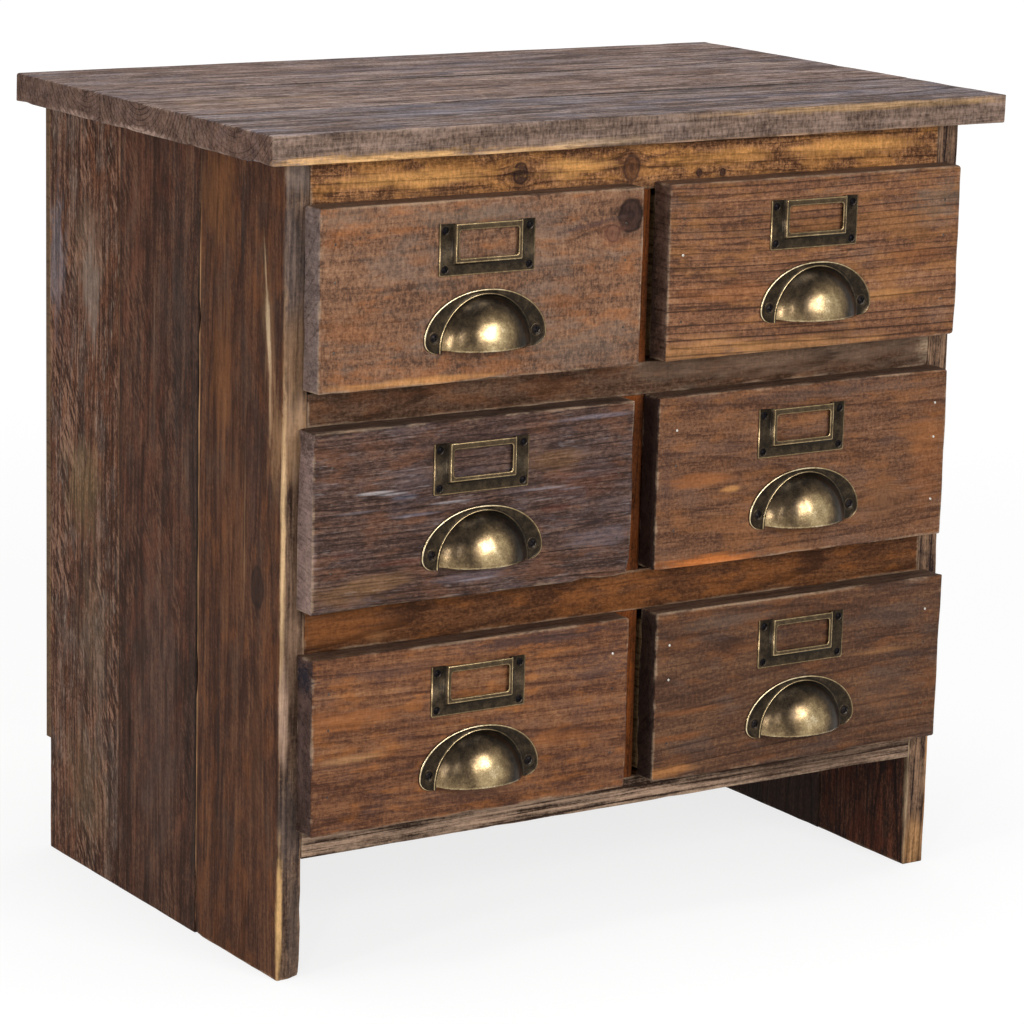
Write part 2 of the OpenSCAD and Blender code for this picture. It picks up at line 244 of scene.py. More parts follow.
class Wood(Finish):
    """One board's own finish: rings, streaks and fibres, stain, worn edges and its own marks."""

    def __init__(self, name, board, look, seed):
        super().__init__(name)
        look = {**PLAIN_LOOK, **look}
        random.seed(seed)
        self.shift = [random.uniform(-40, 40) for _ in range(3)]
        facing = self.parts(self.normal)
        order = (board.along, board.across, board.deep)
        place = self.parts(self.place(self.position, (1, 1, 1), -board.low))
        self.face = self.vector(*[place[axis] for axis in order])
        along, across, deep = self.parts(self.face)
        half = [board.half[axis] for axis in order]

        # The grain wanders, and swings round the knots
        wander = self.pattern(self.face, WANDER_FINE, 1.0)
        ragged = self.pattern(self.face, RAGGED_FINE, 4.0)
        grain_across = across + (wander - 0.5) * (look["wander"] * MM * 2)
        knots = []
        for at, size, heart, rim in look["knots"]:
            away = self.away(at, (size[0] * 1.5, size[1]))
            middle = at[1] * MM
            pull = self.math("EXPONENT", away * away * -0.5) * 0.75
            grain_across = grain_across - (grain_across - middle) * pull
            knots.append((self.away(at, size) + (ragged - 0.5) * 0.45, heart, rim))
        grain = self.vector(along, grain_across, deep)

        fuzz = self.pattern(grain, look["fine"], 4.0, 0.8)
        fibres = self.pattern(grain, FIBRES_FINE, 3.0, 0.65)
        veins = self.pattern(grain, VEINS_FINE, 3.0, 0.5)
        veins = self.span(abs(veins - 0.5), 0.03, 0.0) * self.span(fibres, 0.35, 0.6)
        bands = self.pattern(grain, BANDS_FINE, 2.0, 0.5)
        blotches = self.pattern(self.face, BLOTCHES_FINE, 4.0, 0.65)
        patches = self.pattern(self.face, PATCHES_FINE, 2.0)
        ticks = self.pattern(self.face, TICKS_FINE, 3.0, 0.7)
        rings = self.rings(look, along, grain_across, deep, fibres)

        tone = 0.5 + (fuzz - 0.5) * (look["fuzz"] * 2.4) + (fibres - 0.5) * (look["fibres"] * 2)
        tone = tone + (bands - 0.5) * look["bands"] + (blotches - 0.5) * (look["blotches"] * 1.6)
        tone = tone + (ticks - 0.5) * look["ticks"] - rings * look["rings"] - veins * look["veins"]
        if look["whiskers"]:
            tone = tone + self.whiskers() * look["whiskers"]
        dark, middle, light = (paint(colour) for colour in look["wood"])
        deepest = tuple(0.6 * part for part in dark[:3]) + (1.0,)
        palest = tuple(1.35 * part for part in light[:3]) + (1.0,)
        colour = self.ramp(
            tone, ((0.0, deepest), (0.3, dark), (0.52, middle), (0.78, light), (1.0, palest)))
        self.shade = self.span(tone, -0.3, 1.05) + 0.4

        # Stain in small patches, gathered in some places more than in others
        warm, share = look["warm"]
        stain = self.pattern(self.face, WARM_FINE, 3.0, 0.6, other=True)
        stain = stain + (patches - 0.5) * 0.5
        colour = self.film(colour, warm, self.span(stain, 0.5, 0.66) * share)
        grey, share = look["grey"]
        cool = self.pattern(self.face, GREY_FINE, 3.0, 0.65, other=True)
        colour = self.film(colour, grey, self.span(cool + (0.5 - patches) * 0.4, 0.5, 0.66) * share)
        pale, share = look["scratch"]
        if share:
            hair = self.pattern(self.face, look["hair"], 2.0, 0.6, other=True)
            hair = self.span(hair, 0.58, 0.7) * self.span(cool, 0.43, 0.56)
            colour = self.mix(colour, paint(pale), hair * share)

        for reach, heart, rim in knots:
            colour = self.film(colour, heart, self.span(reach, 2.0, 0.9) * 0.4)
            colour = self.film(colour, heart, self.span(reach, 1.02, 0.8) * 0.85)
            colour = self.film(colour, rim, self.span(abs(reach - 0.88), 0.2, 0.02) * 0.75)
            colour = self.film(colour, rim, self.span(reach, 0.4, 0.15) * 0.45)

        # Narrow faces and ends, with the marks of the saw across them
        fine, streaks, cloud, lines = look["side_pattern"]
        turned = self.span(abs(facing[board.across]), 0.5, 0.8)
        tone = (fuzz - 0.5) * fine + (fibres - 0.5) * streaks + (blotches - 0.5) * cloud + 0.5
        tone = tone + (ticks - 0.5) * look["saw"] - rings * lines - veins * 0.15
        colour = self.other_face(colour, look["side"], turned, tone)
        at_end = self.span(abs(facing[board.along]), 0.5, 0.8)
        cuts = self.pattern(self.face, CUTS_FINE, 3.0, 0.7)
        tone = (fuzz - 0.5) * 0.9 + (blotches - 0.5) * 0.9 + 0.5
        tone = tone + (cuts - 0.5) * (0.3 + look["saw"] * 0.6) - rings * look["end_rings"]
        colour = self.other_face(colour, look["end"], at_end, tone)

        # Rubbed arrises: the second smallest distance to the board's faces
        gaps = [middle - abs(part - middle) for middle, part in zip(half, (along, across, deep))]
        low = self.math("MINIMUM", gaps[0], gaps[1])
        high = self.math("MAXIMUM", gaps[0], gaps[1])
        second = self.math("MAXIMUM", low, self.math("MINIMUM", high, gaps[2]))
        rubbed = self.span(second + (0.5 - blotches) * 0.004, ARRIS_WIDE, ARRIS_FULL)
        worn, share = look["arris"]
        here = patches + (blotches - 0.5) * 0.8
        colour = self.film(colour, worn, rubbed * self.span(here, 0.4, 0.58) * share)
        colour = self.mix(colour, deepest, rubbed * self.span(here, 0.5, 0.34) * 0.45)

        # Broad marks fray more than fine lines do. One with no depth keeps off the ends.
        frayed = (ragged - 0.5) * 1.7 + (fuzz - 0.5) * 1.6
        for at, size, tint, share, *lean in look["marks"]:
            spot = self.away(at, size, *lean) + frayed * (0.5 + min(1.0, size[1] / 10))
            spot = self.span(spot, 1.2, 0.35) * share
            colour = self.film(colour, tint, spot if len(at) == 3 else spot * (1 - at_end))

        height = fuzz * 0.9 + fibres * 0.6 + ticks * 0.25 - rings * 0.5
        rough = (1 - self.shade) * 0.12 + look["rough"]
        self.surface(colour, rough, height, look["depth"] * MM, shine=look["shine"])

    def pattern(self, vector, fine, detail, rough=0.55, other=False):
        """Noise of this board's own. The stains and scratches take theirs from another place."""
        shift = self.shift[::-1] if other else self.shift
        return self.grain_noise(self.place(vector, fine, shift), detail, rough)

    def away(self, at, size, lean=0.0):
        """How far a point is from a mark's middle, 1 at its edge. Two numbers leave depth out."""
        middle = Vector(list(at) + [0] * (3 - len(at))) * MM
        reach = list(size) + [ANY_DEPTH] * (3 - len(size))
        turn = math.radians(lean)
        shift = Matrix.Rotation(turn, 3, "Z") @ -middle
        moved = self.place(self.face, (1, 1, 1), shift, (0, 0, turn))
        return self.length(self.place(moved, [1 / (part * MM) for part in reach]))

    def whiskers(self):
        """Short fibres torn up at a slant to the grain, in patches."""
        slanted = self.place(self.face, (1, 1, 1), turn=(0, 0, math.radians(WHISKER_SLANT)))
        torn = self.pattern(slanted, WHISKERS_FINE, 3.0, 0.7)
        where = self.pattern(self.face, TORN_FINE, 3.0, 0.6, other=True)
        return (torn - 0.5) * self.span(where, 0.46, 0.6) * 3

    def rings(self, look, along, across, deep, wobble):
        """Thin dark late wood, on rings round a pith behind the board, which leans a little."""
        pith_across, pith_deep = look["pith"]
        aside = across - pith_across * MM
        behind = deep - pith_deep * MM - along * look["tilt"]
        reach = (aside * aside + behind * behind) ** 0.5
        turn = reach / (look["ring_gap"] * MM) + wobble * 0.25
        share = self.math("FRACT", turn)
        number = self.math("FLOOR", turn)
        strength = self.node(
            "ShaderNodeTexWhiteNoise", {"noise_dimensions": "1D"}, {"W": number})
        line = self.span(share, 0.6, 0.92) * self.span(share, 1.0, 0.95)
        return line ** 2.0 * (strength * 1.1 + 0.1)

    def film(self, colour, tint, share):
        """A thin coat of another colour that lets the grain's light and dark through."""
        shaded = self.node(
            "ShaderNodeVectorMath", {"operation": "SCALE"},
            {0: paint(tint)[:3], "Scale": self.shade})
        return self.mix(colour, shaded, share)

    def other_face(self, colour, paints, mask, tone):
        """A narrow face or an end in its own two colours."""
        low, high, share = paints
        shown = self.ramp(tone, ((0.2, paint(low)), (0.8, paint(high))))
        return self.mix(colour, shown, mask * share)


def make_object(name, shape, material):
    """A bmesh shape as an object in the scene."""
    mesh = bpy.data.meshes.new(name)
    shape.to_mesh(mesh)
    shape.free()
    mesh.materials.append(material)
    made = bpy.data.objects.new(name, mesh)
    bpy.context.scene.collection.objects.link(made)
    return made


def make_piece(name, shape, material, body, nodes):
    """A finished piece that rides on its body in place of the CAD nodes that it stands for."""
    piece = make_object(name, shape, material)
    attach(piece, body)
    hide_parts(*nodes)


def cut(shape, point, normal, **options):
    """Cuts a shape with a plane, from side to side."""
    bmesh.ops.bisect_plane(
        shape, geom=shape.verts[:] + shape.edges[:] + shape.faces[:],
        plane_co=point, plane_no=normal, **options)


# How far apart a board's rows of corners are, in metres, and how fine the waves and chips of its
# arrises are, in cells to the metre. A chip shows where its noise is over the least.
PLANK_STEP = 0.012
WAVE_FINE = 32
CHIP_FINE = 75
CHIP_LEAST = 0.34


def plank(board, ease, wear, seed):
    """A board with rounded arrises that waver and are chipped here and there, as on old boards."""
    shape = bmesh.new()
    bmesh.ops.create_cube(shape, size=1)
    bmesh.ops.scale(shape, vec=board.half * 2, verts=shape.verts)
    bmesh.ops.translate(shape, vec=board.centre, verts=shape.verts)
    bmesh.ops.bevel(
        shape, geom=shape.edges[:], offset=ease, segments=2, profile=0.5, affect="EDGES",
        material=-1)
    for axis in range(3):
        pieces = max(2, round(board.half[axis] * 2 / PLANK_STEP))
        for i in range(1, pieces):
            point = board.low.copy()
            point[axis] += board.half[axis] * 2 * i / pieces
            normal = Vector((0, 0, 0))
            normal[axis] = 1
            cut(shape, point, normal)
    start = Vector((seed, seed * 0.7, -seed))
    for corner in shape.verts:
        inside = [min(corner.co[i] - board.low[i], board.high[i] - corner.co[i]) for i in range(3)]
        if sorted(inside)[1] > ease * 1.05:
            continue
        wave = noise.noise(corner.co * WAVE_FINE + start)
        chip = max(0, noise.noise(corner.co * CHIP_FINE - start) - CHIP_LEAST)
        grow = max(0.35, 1 + wear * (1.5 * wave + 7 * chip))
        for i in range(3):
            if inside[i] < ease * 1.05:
                side = 1 if corner.co[i] < board.centre[i] else -1
                corner.co[i] += side * min(inside[i] * (grow - 1), board.half[i] * 0.4)
    return shape


def sweep(columns, rows, point, around=False):
    """A skin of columns by rows. Point gives each one's place and how rubbed its metal is."""
    shape = bmesh.new()
    rub = shape.verts.layers.float.new("rub")
    bmesh.ops.create_grid(shape, x_segments=columns, y_segments=rows, size=0.5)
    for corner in shape.verts:
        column = round((corner.co.x + 0.5) * columns)
        row = round((corner.co.y + 0.5) * rows)
        place, rubbed = point(column % columns if around else column, row % rows)
        corner.co = place
        corner[rub] = rubbed
    bmesh.ops.remove_doubles(shape, verts=shape.verts, dist=1e-6)
    bmesh.ops.holes_fill(shape, edges=shape.edges[:], sides=0)
    bmesh.ops.recalc_face_normals(shape, faces=shape.faces)
    for face in shape.faces:
        face.smooth = True
    return shape


def join(shapes):
    """Several shapes as one mesh, their rubbed values kept."""
    whole = bmesh.new()
    whole.verts.layers.float.new("rub")
    for shape in shapes:
        part = bpy.data.meshes.new("part")
        shape.to_mesh(part)
        shape.free()
        whole.from_mesh(part)
        bpy.data.meshes.remove(part)
    return whole


def on_front(middle, face_y):
    """Turns millimetres across, out and up from a fitting's middle into a place on the front."""
    def place(across, out, up):
        return Vector((middle[0] + across * MM, face_y - out * MM, middle[1] + up * MM))
    return place


# Cup pull, in millimetres from the middle of its screw line
FLANGE_HALF = 48.0
FLANGE_TOP = 30.5
FLANGE_FOOT = -10.5
EAR_UP = -2.0
EAR_ROUND = 10.0
HOOD_HALF = 35.8
HOOD_OUT = 20.0
LIP_UP = -8.5
LIP_RUBBED = 1.4
HOOD_FLARE = 2.6
HOOD_WALL = 1.2
# The buffed patch on the hood, which is also a painted highlight: its middle over the lip, and its
# radius
BUFFED_HIGHLIGHT_UP = 11.0
BUFFED_HIGHLIGHT_REACH = 19.0
PULL_SCREWS = 40.0
# The flange's section: which edge, how far in from it, how high and how rubbed
FLANGE_ROWS = (
    ("outer", 0.0, 0.0, 0.2), ("outer", 0.0, 0.9, 0.6), ("outer", 0.25, 1.35, 0.95),
    ("outer", 0.8, 1.5, 0.95), ("outer", 1.3, 1.25, 0.3), ("outer", 1.9, 1.05, 0.08),
    ("inner", 2.4, 1.0, 0.12), ("inner", 1.0, 0.95, 0.0), ("inner", 0.5, 1.2, 0.1),
    ("inner", 0.3, 1.6, 0.75), ("inner", 0.1, 1.8, 0.85), ("inner", -0.3, 1.8, 0.2),
    ("inner", -1.2, 1.7, 0.05), ("inner", -1.2, 0.0, 0.0))
ARCH_STEPS = 44
EAR_STEPS = 6


def flange_edges(column):
    """The flange's outer and inner edge at one column, counted from the left ear to the right."""
    if column < EAR_STEPS or column > EAR_STEPS + ARCH_STEPS:
        right = column > EAR_STEPS
        step = column - EAR_STEPS - ARCH_STEPS if right else EAR_STEPS - column
        turn = step / EAR_STEPS * math.pi / 2
        side = 1 if right else -1
        outer = Vector((
            side * (FLANGE_HALF - EAR_ROUND * (1 - math.cos(turn))),
            EAR_UP + (FLANGE_FOOT - EAR_UP) * math.sin(turn)))
        inner = Vector((side * HOOD_HALF, LIP_UP + (FLANGE_FOOT - LIP_UP) * step / EAR_STEPS))
        return outer, inner
    turn = math.pi * (1 - (column - EAR_STEPS) / ARCH_STEPS)
    outer = Vector((
        FLANGE_HALF * math.cos(turn), EAR_UP + (FLANGE_TOP - EAR_UP) * math.sin(turn)))
    inner = Vector((HOOD_HALF * math.cos(turn), LIP_UP + HOOD_HALF * math.sin(turn)))
    return outer, inner


def make_flange(place):
    """The pull's plate: an arch round the hood's foot, with an ear at each end."""
    def point(column, row):
        edge, inwards, out, rub = FLANGE_ROWS[row]
        outer, inner = flange_edges(column)
        way = (inner - outer).normalized()
        at = outer + way * inwards if edge == "outer" else inner - way * inwards
        # Painted shade: the right side is made less rubbed, so darker, than the left
        right_shade = max(0.0, outer.x / FLANGE_HALF) * (0.7 if edge == "inner" else 0.35)
        return place(at.x, out, at.y), rub * (1 - right_shade)
    return sweep(EAR_STEPS * 2 + ARCH_STEPS, len(FLANGE_ROWS), point)


def make_hood(place):
    """A quarter of a ball, flattened, with a foot that flares, and given a wall inwards."""
    shape = bmesh.new()
    rub = shape.verts.layers.float.new("rub")
    bmesh.ops.create_uvsphere(shape, u_segments=64, v_segments=32, radius=1)
    bmesh.ops.rotate(
        shape, verts=shape.verts, cent=(0, 0, 0), matrix=Matrix.Rotation(math.pi / 2, 3, "Y"))
    for normal in ((0, 0, -1), (0, 1, 0)):
        cut(shape, (0, 0, 0), normal, clear_outer=True)
    # A row close above the lip keeps its rubbed line narrow
    cut(shape, (0, 0, 0.04), (0, 0, 1))
    for corner in shape.verts:
        flat = math.hypot(corner.co.x, corner.co.z)
        turn = math.atan2(max(0.0, -corner.co.y), flat)
        flare = HOOD_FLARE * (1 - math.sin(turn)) ** 4 if flat > 0.01 else 0.0
        reach = (HOOD_HALF - HOOD_FLARE) * math.cos(turn) + flare
        out = HOOD_OUT * math.sin(turn)
        up = corner.co.z / max(flat, 1e-9) * reach
        across = corner.co.x / max(flat, 1e-9) * reach
        lip = max(0.0, 1 - up / LIP_RUBBED)
        # The buffed patch is also a painted highlight, bright where the front lamp reflects
        buffed_and_highlight = max(0.0, 1 - (across ** 2 + (up - BUFFED_HIGHLIGHT_UP) ** 2) / BUFFED_HIGHLIGHT_REACH ** 2)
        # Painted highlight: the hood's left foot is made bright where the left lamps reflect
        left_highlight = max(0.0, -across / HOOD_HALF) * max(0.0, 1 - up / HOOD_HALF) ** 2
        corner[rub] = max(0.9 * lip, 0.05 + 0.75 * buffed_and_highlight + 0.7 * left_highlight)
        corner.co = place(across, out, LIP_UP + up)
    bmesh.ops.remove_doubles(shape, verts=shape.verts, dist=1e-6)
    bmesh.ops.recalc_face_normals(shape, faces=shape.faces)
    inside = place(0, 0, LIP_UP)
    outwards = sum(face.normal.dot(face.calc_center_median() - inside) for face in shape.faces)
    if outwards < 0:
        bmesh.ops.reverse_faces(shape, faces=shape.faces)
    bmesh.ops.solidify(shape, geom=shape.faces[:], thickness=HOOD_WALL * MM)
    for face in shape.faces:
        face.smooth = True
    return shape


# Label holder, in millimetres from the middle of its plate
PLATE_HALF = 37.5
PLATE_UP = 17.5
# Half width, lower edge, upper edge and corner rounding of each outline
PLATE = (PLATE_HALF, -PLATE_UP, PLATE_UP, 1.5)
PLATE_EASED = (PLATE_HALF - 0.3, -PLATE_UP + 0.3, PLATE_UP, 1.3)
WALL_EDGE = (28.1, -10.9, PLATE_UP, 1.1)
WALL_FOOT = (27.6, -10.4, PLATE_UP, 1.0)
WALL_BEND = (27.2, -10.0, PLATE_UP, 1.0)
WALL_TOP = (26.1, -8.9, PLATE_UP, 0.8)
WALL_CREST = (25.6, -8.4, PLATE_UP, 0.7)
WALL_INSIDE = (24.9, -7.7, PLATE_UP, 0.6)
PLATE_FACE = (PLATE_HALF - 1.2, -PLATE_UP + 1.2, PLATE_UP, 0.9)
# The trough that holds the card: outline, height and how rubbed
TROUGH_ROWS = (
    (PLATE, 0.0, 0.2), (PLATE, 0.75, 0.6), (PLATE_EASED, 1.0, 0.7), (PLATE_FACE, 1.0, 0.12),
    (WALL_EDGE, 1.0, 0.06), (WALL_FOOT, 1.0, 0.0), (WALL_BEND, 1.25, 0.0), (WALL_TOP, 3.2, 0.3),
    (WALL_CREST, 3.5, 0.85), (WALL_INSIDE, 2.6, 0.2), (WALL_INSIDE, 0.0, 0.0))
FRAME = (26.0, -8.8, PLATE_UP - 0.1, 0.7)
FRAME_EASED = (25.6, -8.4, PLATE_UP - 0.5, 0.5)
WINDOW_EASED = (23.65, -6.2, 13.4, 2.3)
WINDOW = (23.25, -5.8, 13.0, 2.0)
FRAME_FLAT = (25.0, -7.8, PLATE_UP - 1.1, 0.4)
WINDOW_FLAT = (24.2, -6.8, 14.0, 2.6)
FRAME_ROWS = (
    (FRAME, 2.5, 0.2), (FRAME, 3.15, 0.5), (FRAME_EASED, 3.5, 0.8), (FRAME_FLAT, 3.5, 0.28),
    (WINDOW_FLAT, 3.5, 0.25), (WINDOW_EASED, 3.5, 0.6), (WINDOW, 3.2, 0.75), (WINDOW, 2.5, 0.0))
CORNER_STEPS = 4


def corner_point(outline, side, end, step):
    """A point on one rounded corner. Side and end are -1 or 1: left or right, lower or upper."""
    half, low, high, radius = outline
    turn = step / CORNER_STEPS * math.pi / 2
    along = math.cos(turn) if side * end > 0 else math.sin(turn)
    up = math.sin(turn) if side * end > 0 else math.cos(turn)
    middle = low + radius if end < 0 else high - radius
    return side * (half - radius + radius * along), middle + end * radius * up


def make_trough(place):
    """The plate with its raised wall, round three sides, open at the top for the card."""
    def point(column, row):
        outline, out, rub = TROUGH_ROWS[row]
        half, low, high, radius = outline
        if column == 0 or column == 2 * CORNER_STEPS + 3:
            side = -1 if column == 0 else 1
            return place(side * half, out, high), rub
        side = -1 if column <= CORNER_STEPS + 1 else 1
        step = column - 1 if side < 0 else column - 2 - CORNER_STEPS
        across, up = corner_point(outline, side, -1, step)
        return place(across, out, up), rub
    return sweep(2 * CORNER_STEPS + 3, len(TROUGH_ROWS), point)


def make_card_frame(place):
    """The sheet in front of the card, a closed ring round the window."""
    corners = ((-1, -1), (1, -1), (1, 1), (-1, 1))

    def point(column, row):
        outline, out, rub = FRAME_ROWS[row]
        side, end = corners[column // (CORNER_STEPS + 1)]
        across, up = corner_point(outline, side, end, column % (CORNER_STEPS + 1))
        return place(across, out, up), rub
    return sweep(4 * (CORNER_STEPS + 1), len(FRAME_ROWS), point, around=True)


# Where the lines of a head's grid lie, so that four of them make the walls of its cross
HEAD_LINES = (-1, -0.88, -0.66, -0.58, -0.21, -0.13, 0.13, 0.21, 0.58, 0.66, 0.88, 1)
CROSS_REACH = 0.6
CROSS_HALF = 0.15
CROSS_FLOOR = 0.35
# Each kind of head in millimetres: its radius, its height and how far out it starts
PULL_SCREW = (3.3, 1.3, 0.8)
PULL_SCREW_RUBBED = 0.15
LABEL_SCREW = (2.8, 1.2, 0.95)
LABEL_SCREW_RUBBED = 0.05
NAIL = (0.9, 0.15, 0.0)


def make_head(place, size, cross, rubbed, turn=0.0):
    """A domed head, drawn out of a square net, with a cross pressed in if it is a screw."""
    radius, height, start = size
    count = len(HEAD_LINES) - 1
    shape = bmesh.new()
    rub = shape.verts.layers.float.new("rub")
    bmesh.ops.create_grid(shape, x_segments=count, y_segments=count, size=0.5)
    for corner in shape.verts:
        u = HEAD_LINES[round((corner.co.x + 0.5) * count)]
        v = HEAD_LINES[round((corner.co.y + 0.5) * count)]
        near, far = sorted((abs(u), abs(v)))
        across = u * math.sqrt(1 - v * v / 2)
        up = v * math.sqrt(1 - u * u / 2)
        reach = min(1.0, math.hypot(across, up))
        out = height * (1 - reach ** 3)
        if cross and near <= CROSS_HALF and far < CROSS_REACH:
            out = height * CROSS_FLOOR
        turned_across = across * math.cos(turn) - up * math.sin(turn)
        turned_up = across * math.sin(turn) + up * math.cos(turn)
        # A painted highlight: a screw's rim is made bright low on the right
        glint = max(0.0, turned_across - turned_up - 0.35) if cross and reach > 0.6 else 0.0
        corner[rub] = rubbed + glint
        corner.co = place(turned_across * radius, start + out, turned_up * radius)
    bmesh.ops.holes_fill(shape, edges=shape.edges[:], sides=0)
    bmesh.ops.recalc_face_normals(shape, faces=shape.faces)
    for face in shape.faces:
        face.smooth = not cross
    return shape


# A ring of the pull's metal round each screw: distance from the screw's middle, height, how rubbed
COLLAR_ROWS = (
    (4.8, 0.85, 0.08), (4.4, 1.1, 0.12), (4.1, 1.2, 0.22), (3.7, 1.1, 0.05), (3.2, 0.9, 0.0),
    (3.2, 0.4, 0.0))
COLLAR_STEPS = 28


def make_collar(place):
    """The raised ring round a pull's screw."""
    def point(column, row):
        reach, out, rub = COLLAR_ROWS[row]
        turn = column / COLLAR_STEPS * math.tau
        return place(reach * math.cos(turn), out, reach * math.sin(turn)), rub
    return sweep(COLLAR_STEPS, len(COLLAR_ROWS), point, around=True)


# Each metal's colours, from dark to rubbed bright, and how far its clouds stand up, in metres
BRASS_WEAR = (
    (0.0, (40, 35, 29)), (0.3, (78, 65, 49)), (0.55, (124, 104, 76)),
    (0.8, (176, 154, 114)), (1.0, (230, 212, 176)))
BRASS_PIT = (38, 32, 26)
BRASS_DEPTH = 0.00003
STEEL_WEAR = (
    (0.05, (22, 20, 22)), (0.35, (52, 46, 44)), (0.7, (128, 116, 104)), (1.0, (205, 200, 190)))
STEEL_DEPTH = 0.00006


class Metal(Finish):
    """A metal that is dark where it is sheltered and bright where the rub of its corners says. The
    rub also carries painted highlights and painted shade.
    """

    def __init__(self, name):
        super().__init__(name)
        self.rub = self.node("ShaderNodeAttribute", {"attribute_name": "rub"}, {}, out="Fac")

    def cloud(self, place, fine, shift, detail, rough):
        return self.grain_noise(self.place(place, (fine, fine, fine), shift), detail, rough)

    def worn_colour(self, worn, wear):
        return self.ramp(worn, [(at, paint(colour)) for at, colour in wear])


def antique_brass(name, middle, seed):
    """Pressed brass, dark in its hollows, buffed on its rims and on the middle of the hood. Its rub
    also holds painted highlights and painted shade.
    """
    metal = Metal(name)
    place = metal.place(metal.position, (1, 1, 1), [-part for part in middle])
    cloud = metal.cloud(place, 170, (seed, 0, 0), 5.0, 0.72)
    specks = metal.cloud(place, 900, (seed, seed, 0), 3.0, 0.65)
    worn = metal.rub + (cloud - 0.5) * 0.8 + (specks - 0.5) * 0.5
    pits = metal.span(specks, 0.6, 0.72) * 0.45
    colour = metal.mix(metal.worn_colour(worn, BRASS_WEAR), paint(BRASS_PIT), pits)
    rough = 0.3 - metal.span(worn, 0.1, 0.9) * 0.06 + pits * 0.15
    return metal.surface(colour, rough, cloud * 0.5 + specks * 0.25, BRASS_DEPTH, metal=1.0)


def dark_steel(name, seed):
    """Blackened screws with rubbed rims, and nail heads."""
    metal = Metal(name)
    cloud = metal.cloud(metal.position, 420, (seed, 0, 0), 3.0, 0.6)
    worn = metal.rub + (cloud - 0.5) * 0.5
    rough = 0.45 - metal.span(worn, 0.1, 0.9) * 0.12
    return metal.surface(
        metal.worn_colour(worn, STEEL_WEAR), rough, cloud, STEEL_DEPTH, metal=1.0)


# How each board looks where it differs from PLAIN_LOOK. Marks and knots are at (along, across)
# from the board's low corner, or (along, across, deep), with their half sizes. A mark has its
# colour and share as well, and some end with how far they lean, in degrees.
GOLD = (196, 140, 84)
ORANGE = (146, 90, 50)
RED_BROWN = (106, 64, 46)
DUSTY = (120, 104, 90)
PURPLE = (72, 54, 50)
SOOT_AND_SHADE = (52, 38, 32)
KNOT = (62, 42, 35)
KNOT_RIM = (40, 26, 20)
PALE_STREAK = (206, 176, 140)
SEAM = (36, 28, 24)
# What the top's boards share
WEATHERED = dict(
    rings=0.5, ring_gap=3.4, fuzz=0.7, fibres=0.9, veins=0.5, bands=0.9,
    blotches=0.7, saw=0.6)

LOOKS = {}
LOOKS["top_left_front"] = dict(
    wood=((82, 59, 46), (124, 89, 67), (150, 113, 86)),
    rings=0.06, ring_gap=7, pith=(150, 90), fibres=0.25, fuzz=0.45, veins=0.1,
    fine=(430, 560, 560), ticks=0.85, saw=0.7, blotches=0.22, bands=0.35,
    warm=((150, 94, 54), 0.45), grey=((112, 98, 88), 0.4),
    end=((74, 61, 58), (149, 130, 124), 0.9), rough=0.62,
    side=((70, 54, 45), (134, 110, 94), 0.75),
    knots=(
        ((242, 103), (10.5, 12), (48, 32, 28), (30, 19, 15)),
        ((228, 92), (6, 6.5), (112, 80, 64), (80, 52, 42))),
    marks=(
        ((212, 99), (30, 2.4), PURPLE, 0.7, -9), ((208, 93), (26, 1.6), SOOT_AND_SHADE, 0.5, -14),
        ((74, 3), (70, 3), GOLD, 0.6),
        ((11, 102), (9, 9), ORANGE, 0.4), ((76, 84), (12, 5), ORANGE, 0.35),
        ((187, 49), (22, 6), ORANGE, 0.35), ((18, 114), (24, 6), DUSTY, 0.5),
        ((112, 110), (40, 7), DUSTY, 0.5), ((226, 91), (12, 9), RED_BROWN, 0.35),
        ((205, 20), (40, 8), DUSTY, 0.35), ((24, 40), (30, 12), ORANGE, 0.3)))
LOOKS["top_right_front"] = dict(
    wood=((80, 54, 40), (118, 80, 57), (153, 111, 81)),
    rings=0.45, ring_gap=5.2, pith=(-70, 20), tilt=0.01, fuzz=0.45, veins=0.3,
    fine=(300, 560, 560), ticks=0.5,
    warm=((148, 100, 58), 0.45), grey=((110, 90, 78), 0.3),
    end=((44, 30, 26), (122, 97, 84), 0.85), rough=0.6,
    side=((70, 54, 45), (134, 110, 94), 0.75),
    marks=(
        # Painted shadow: the rear of the left end is darkened where the next front shades it
        ((0, 40, 17), (5, 60, 6), (44, 33, 31), 0.6),
        ((20, 6), (60, 9), GOLD, 0.35), ((110, 3), (80, 6), GOLD, 0.35),
        ((18, 63), (20, 5), SOOT_AND_SHADE, 0.4), ((234, 98), (26, 14), DUSTY, 0.45),
        ((60, 44), (50, 7), ORANGE, 0.35), ((180, 34), (50, 4), GOLD, 0.35),
        ((215, 60), (30, 6), ORANGE, 0.3)))
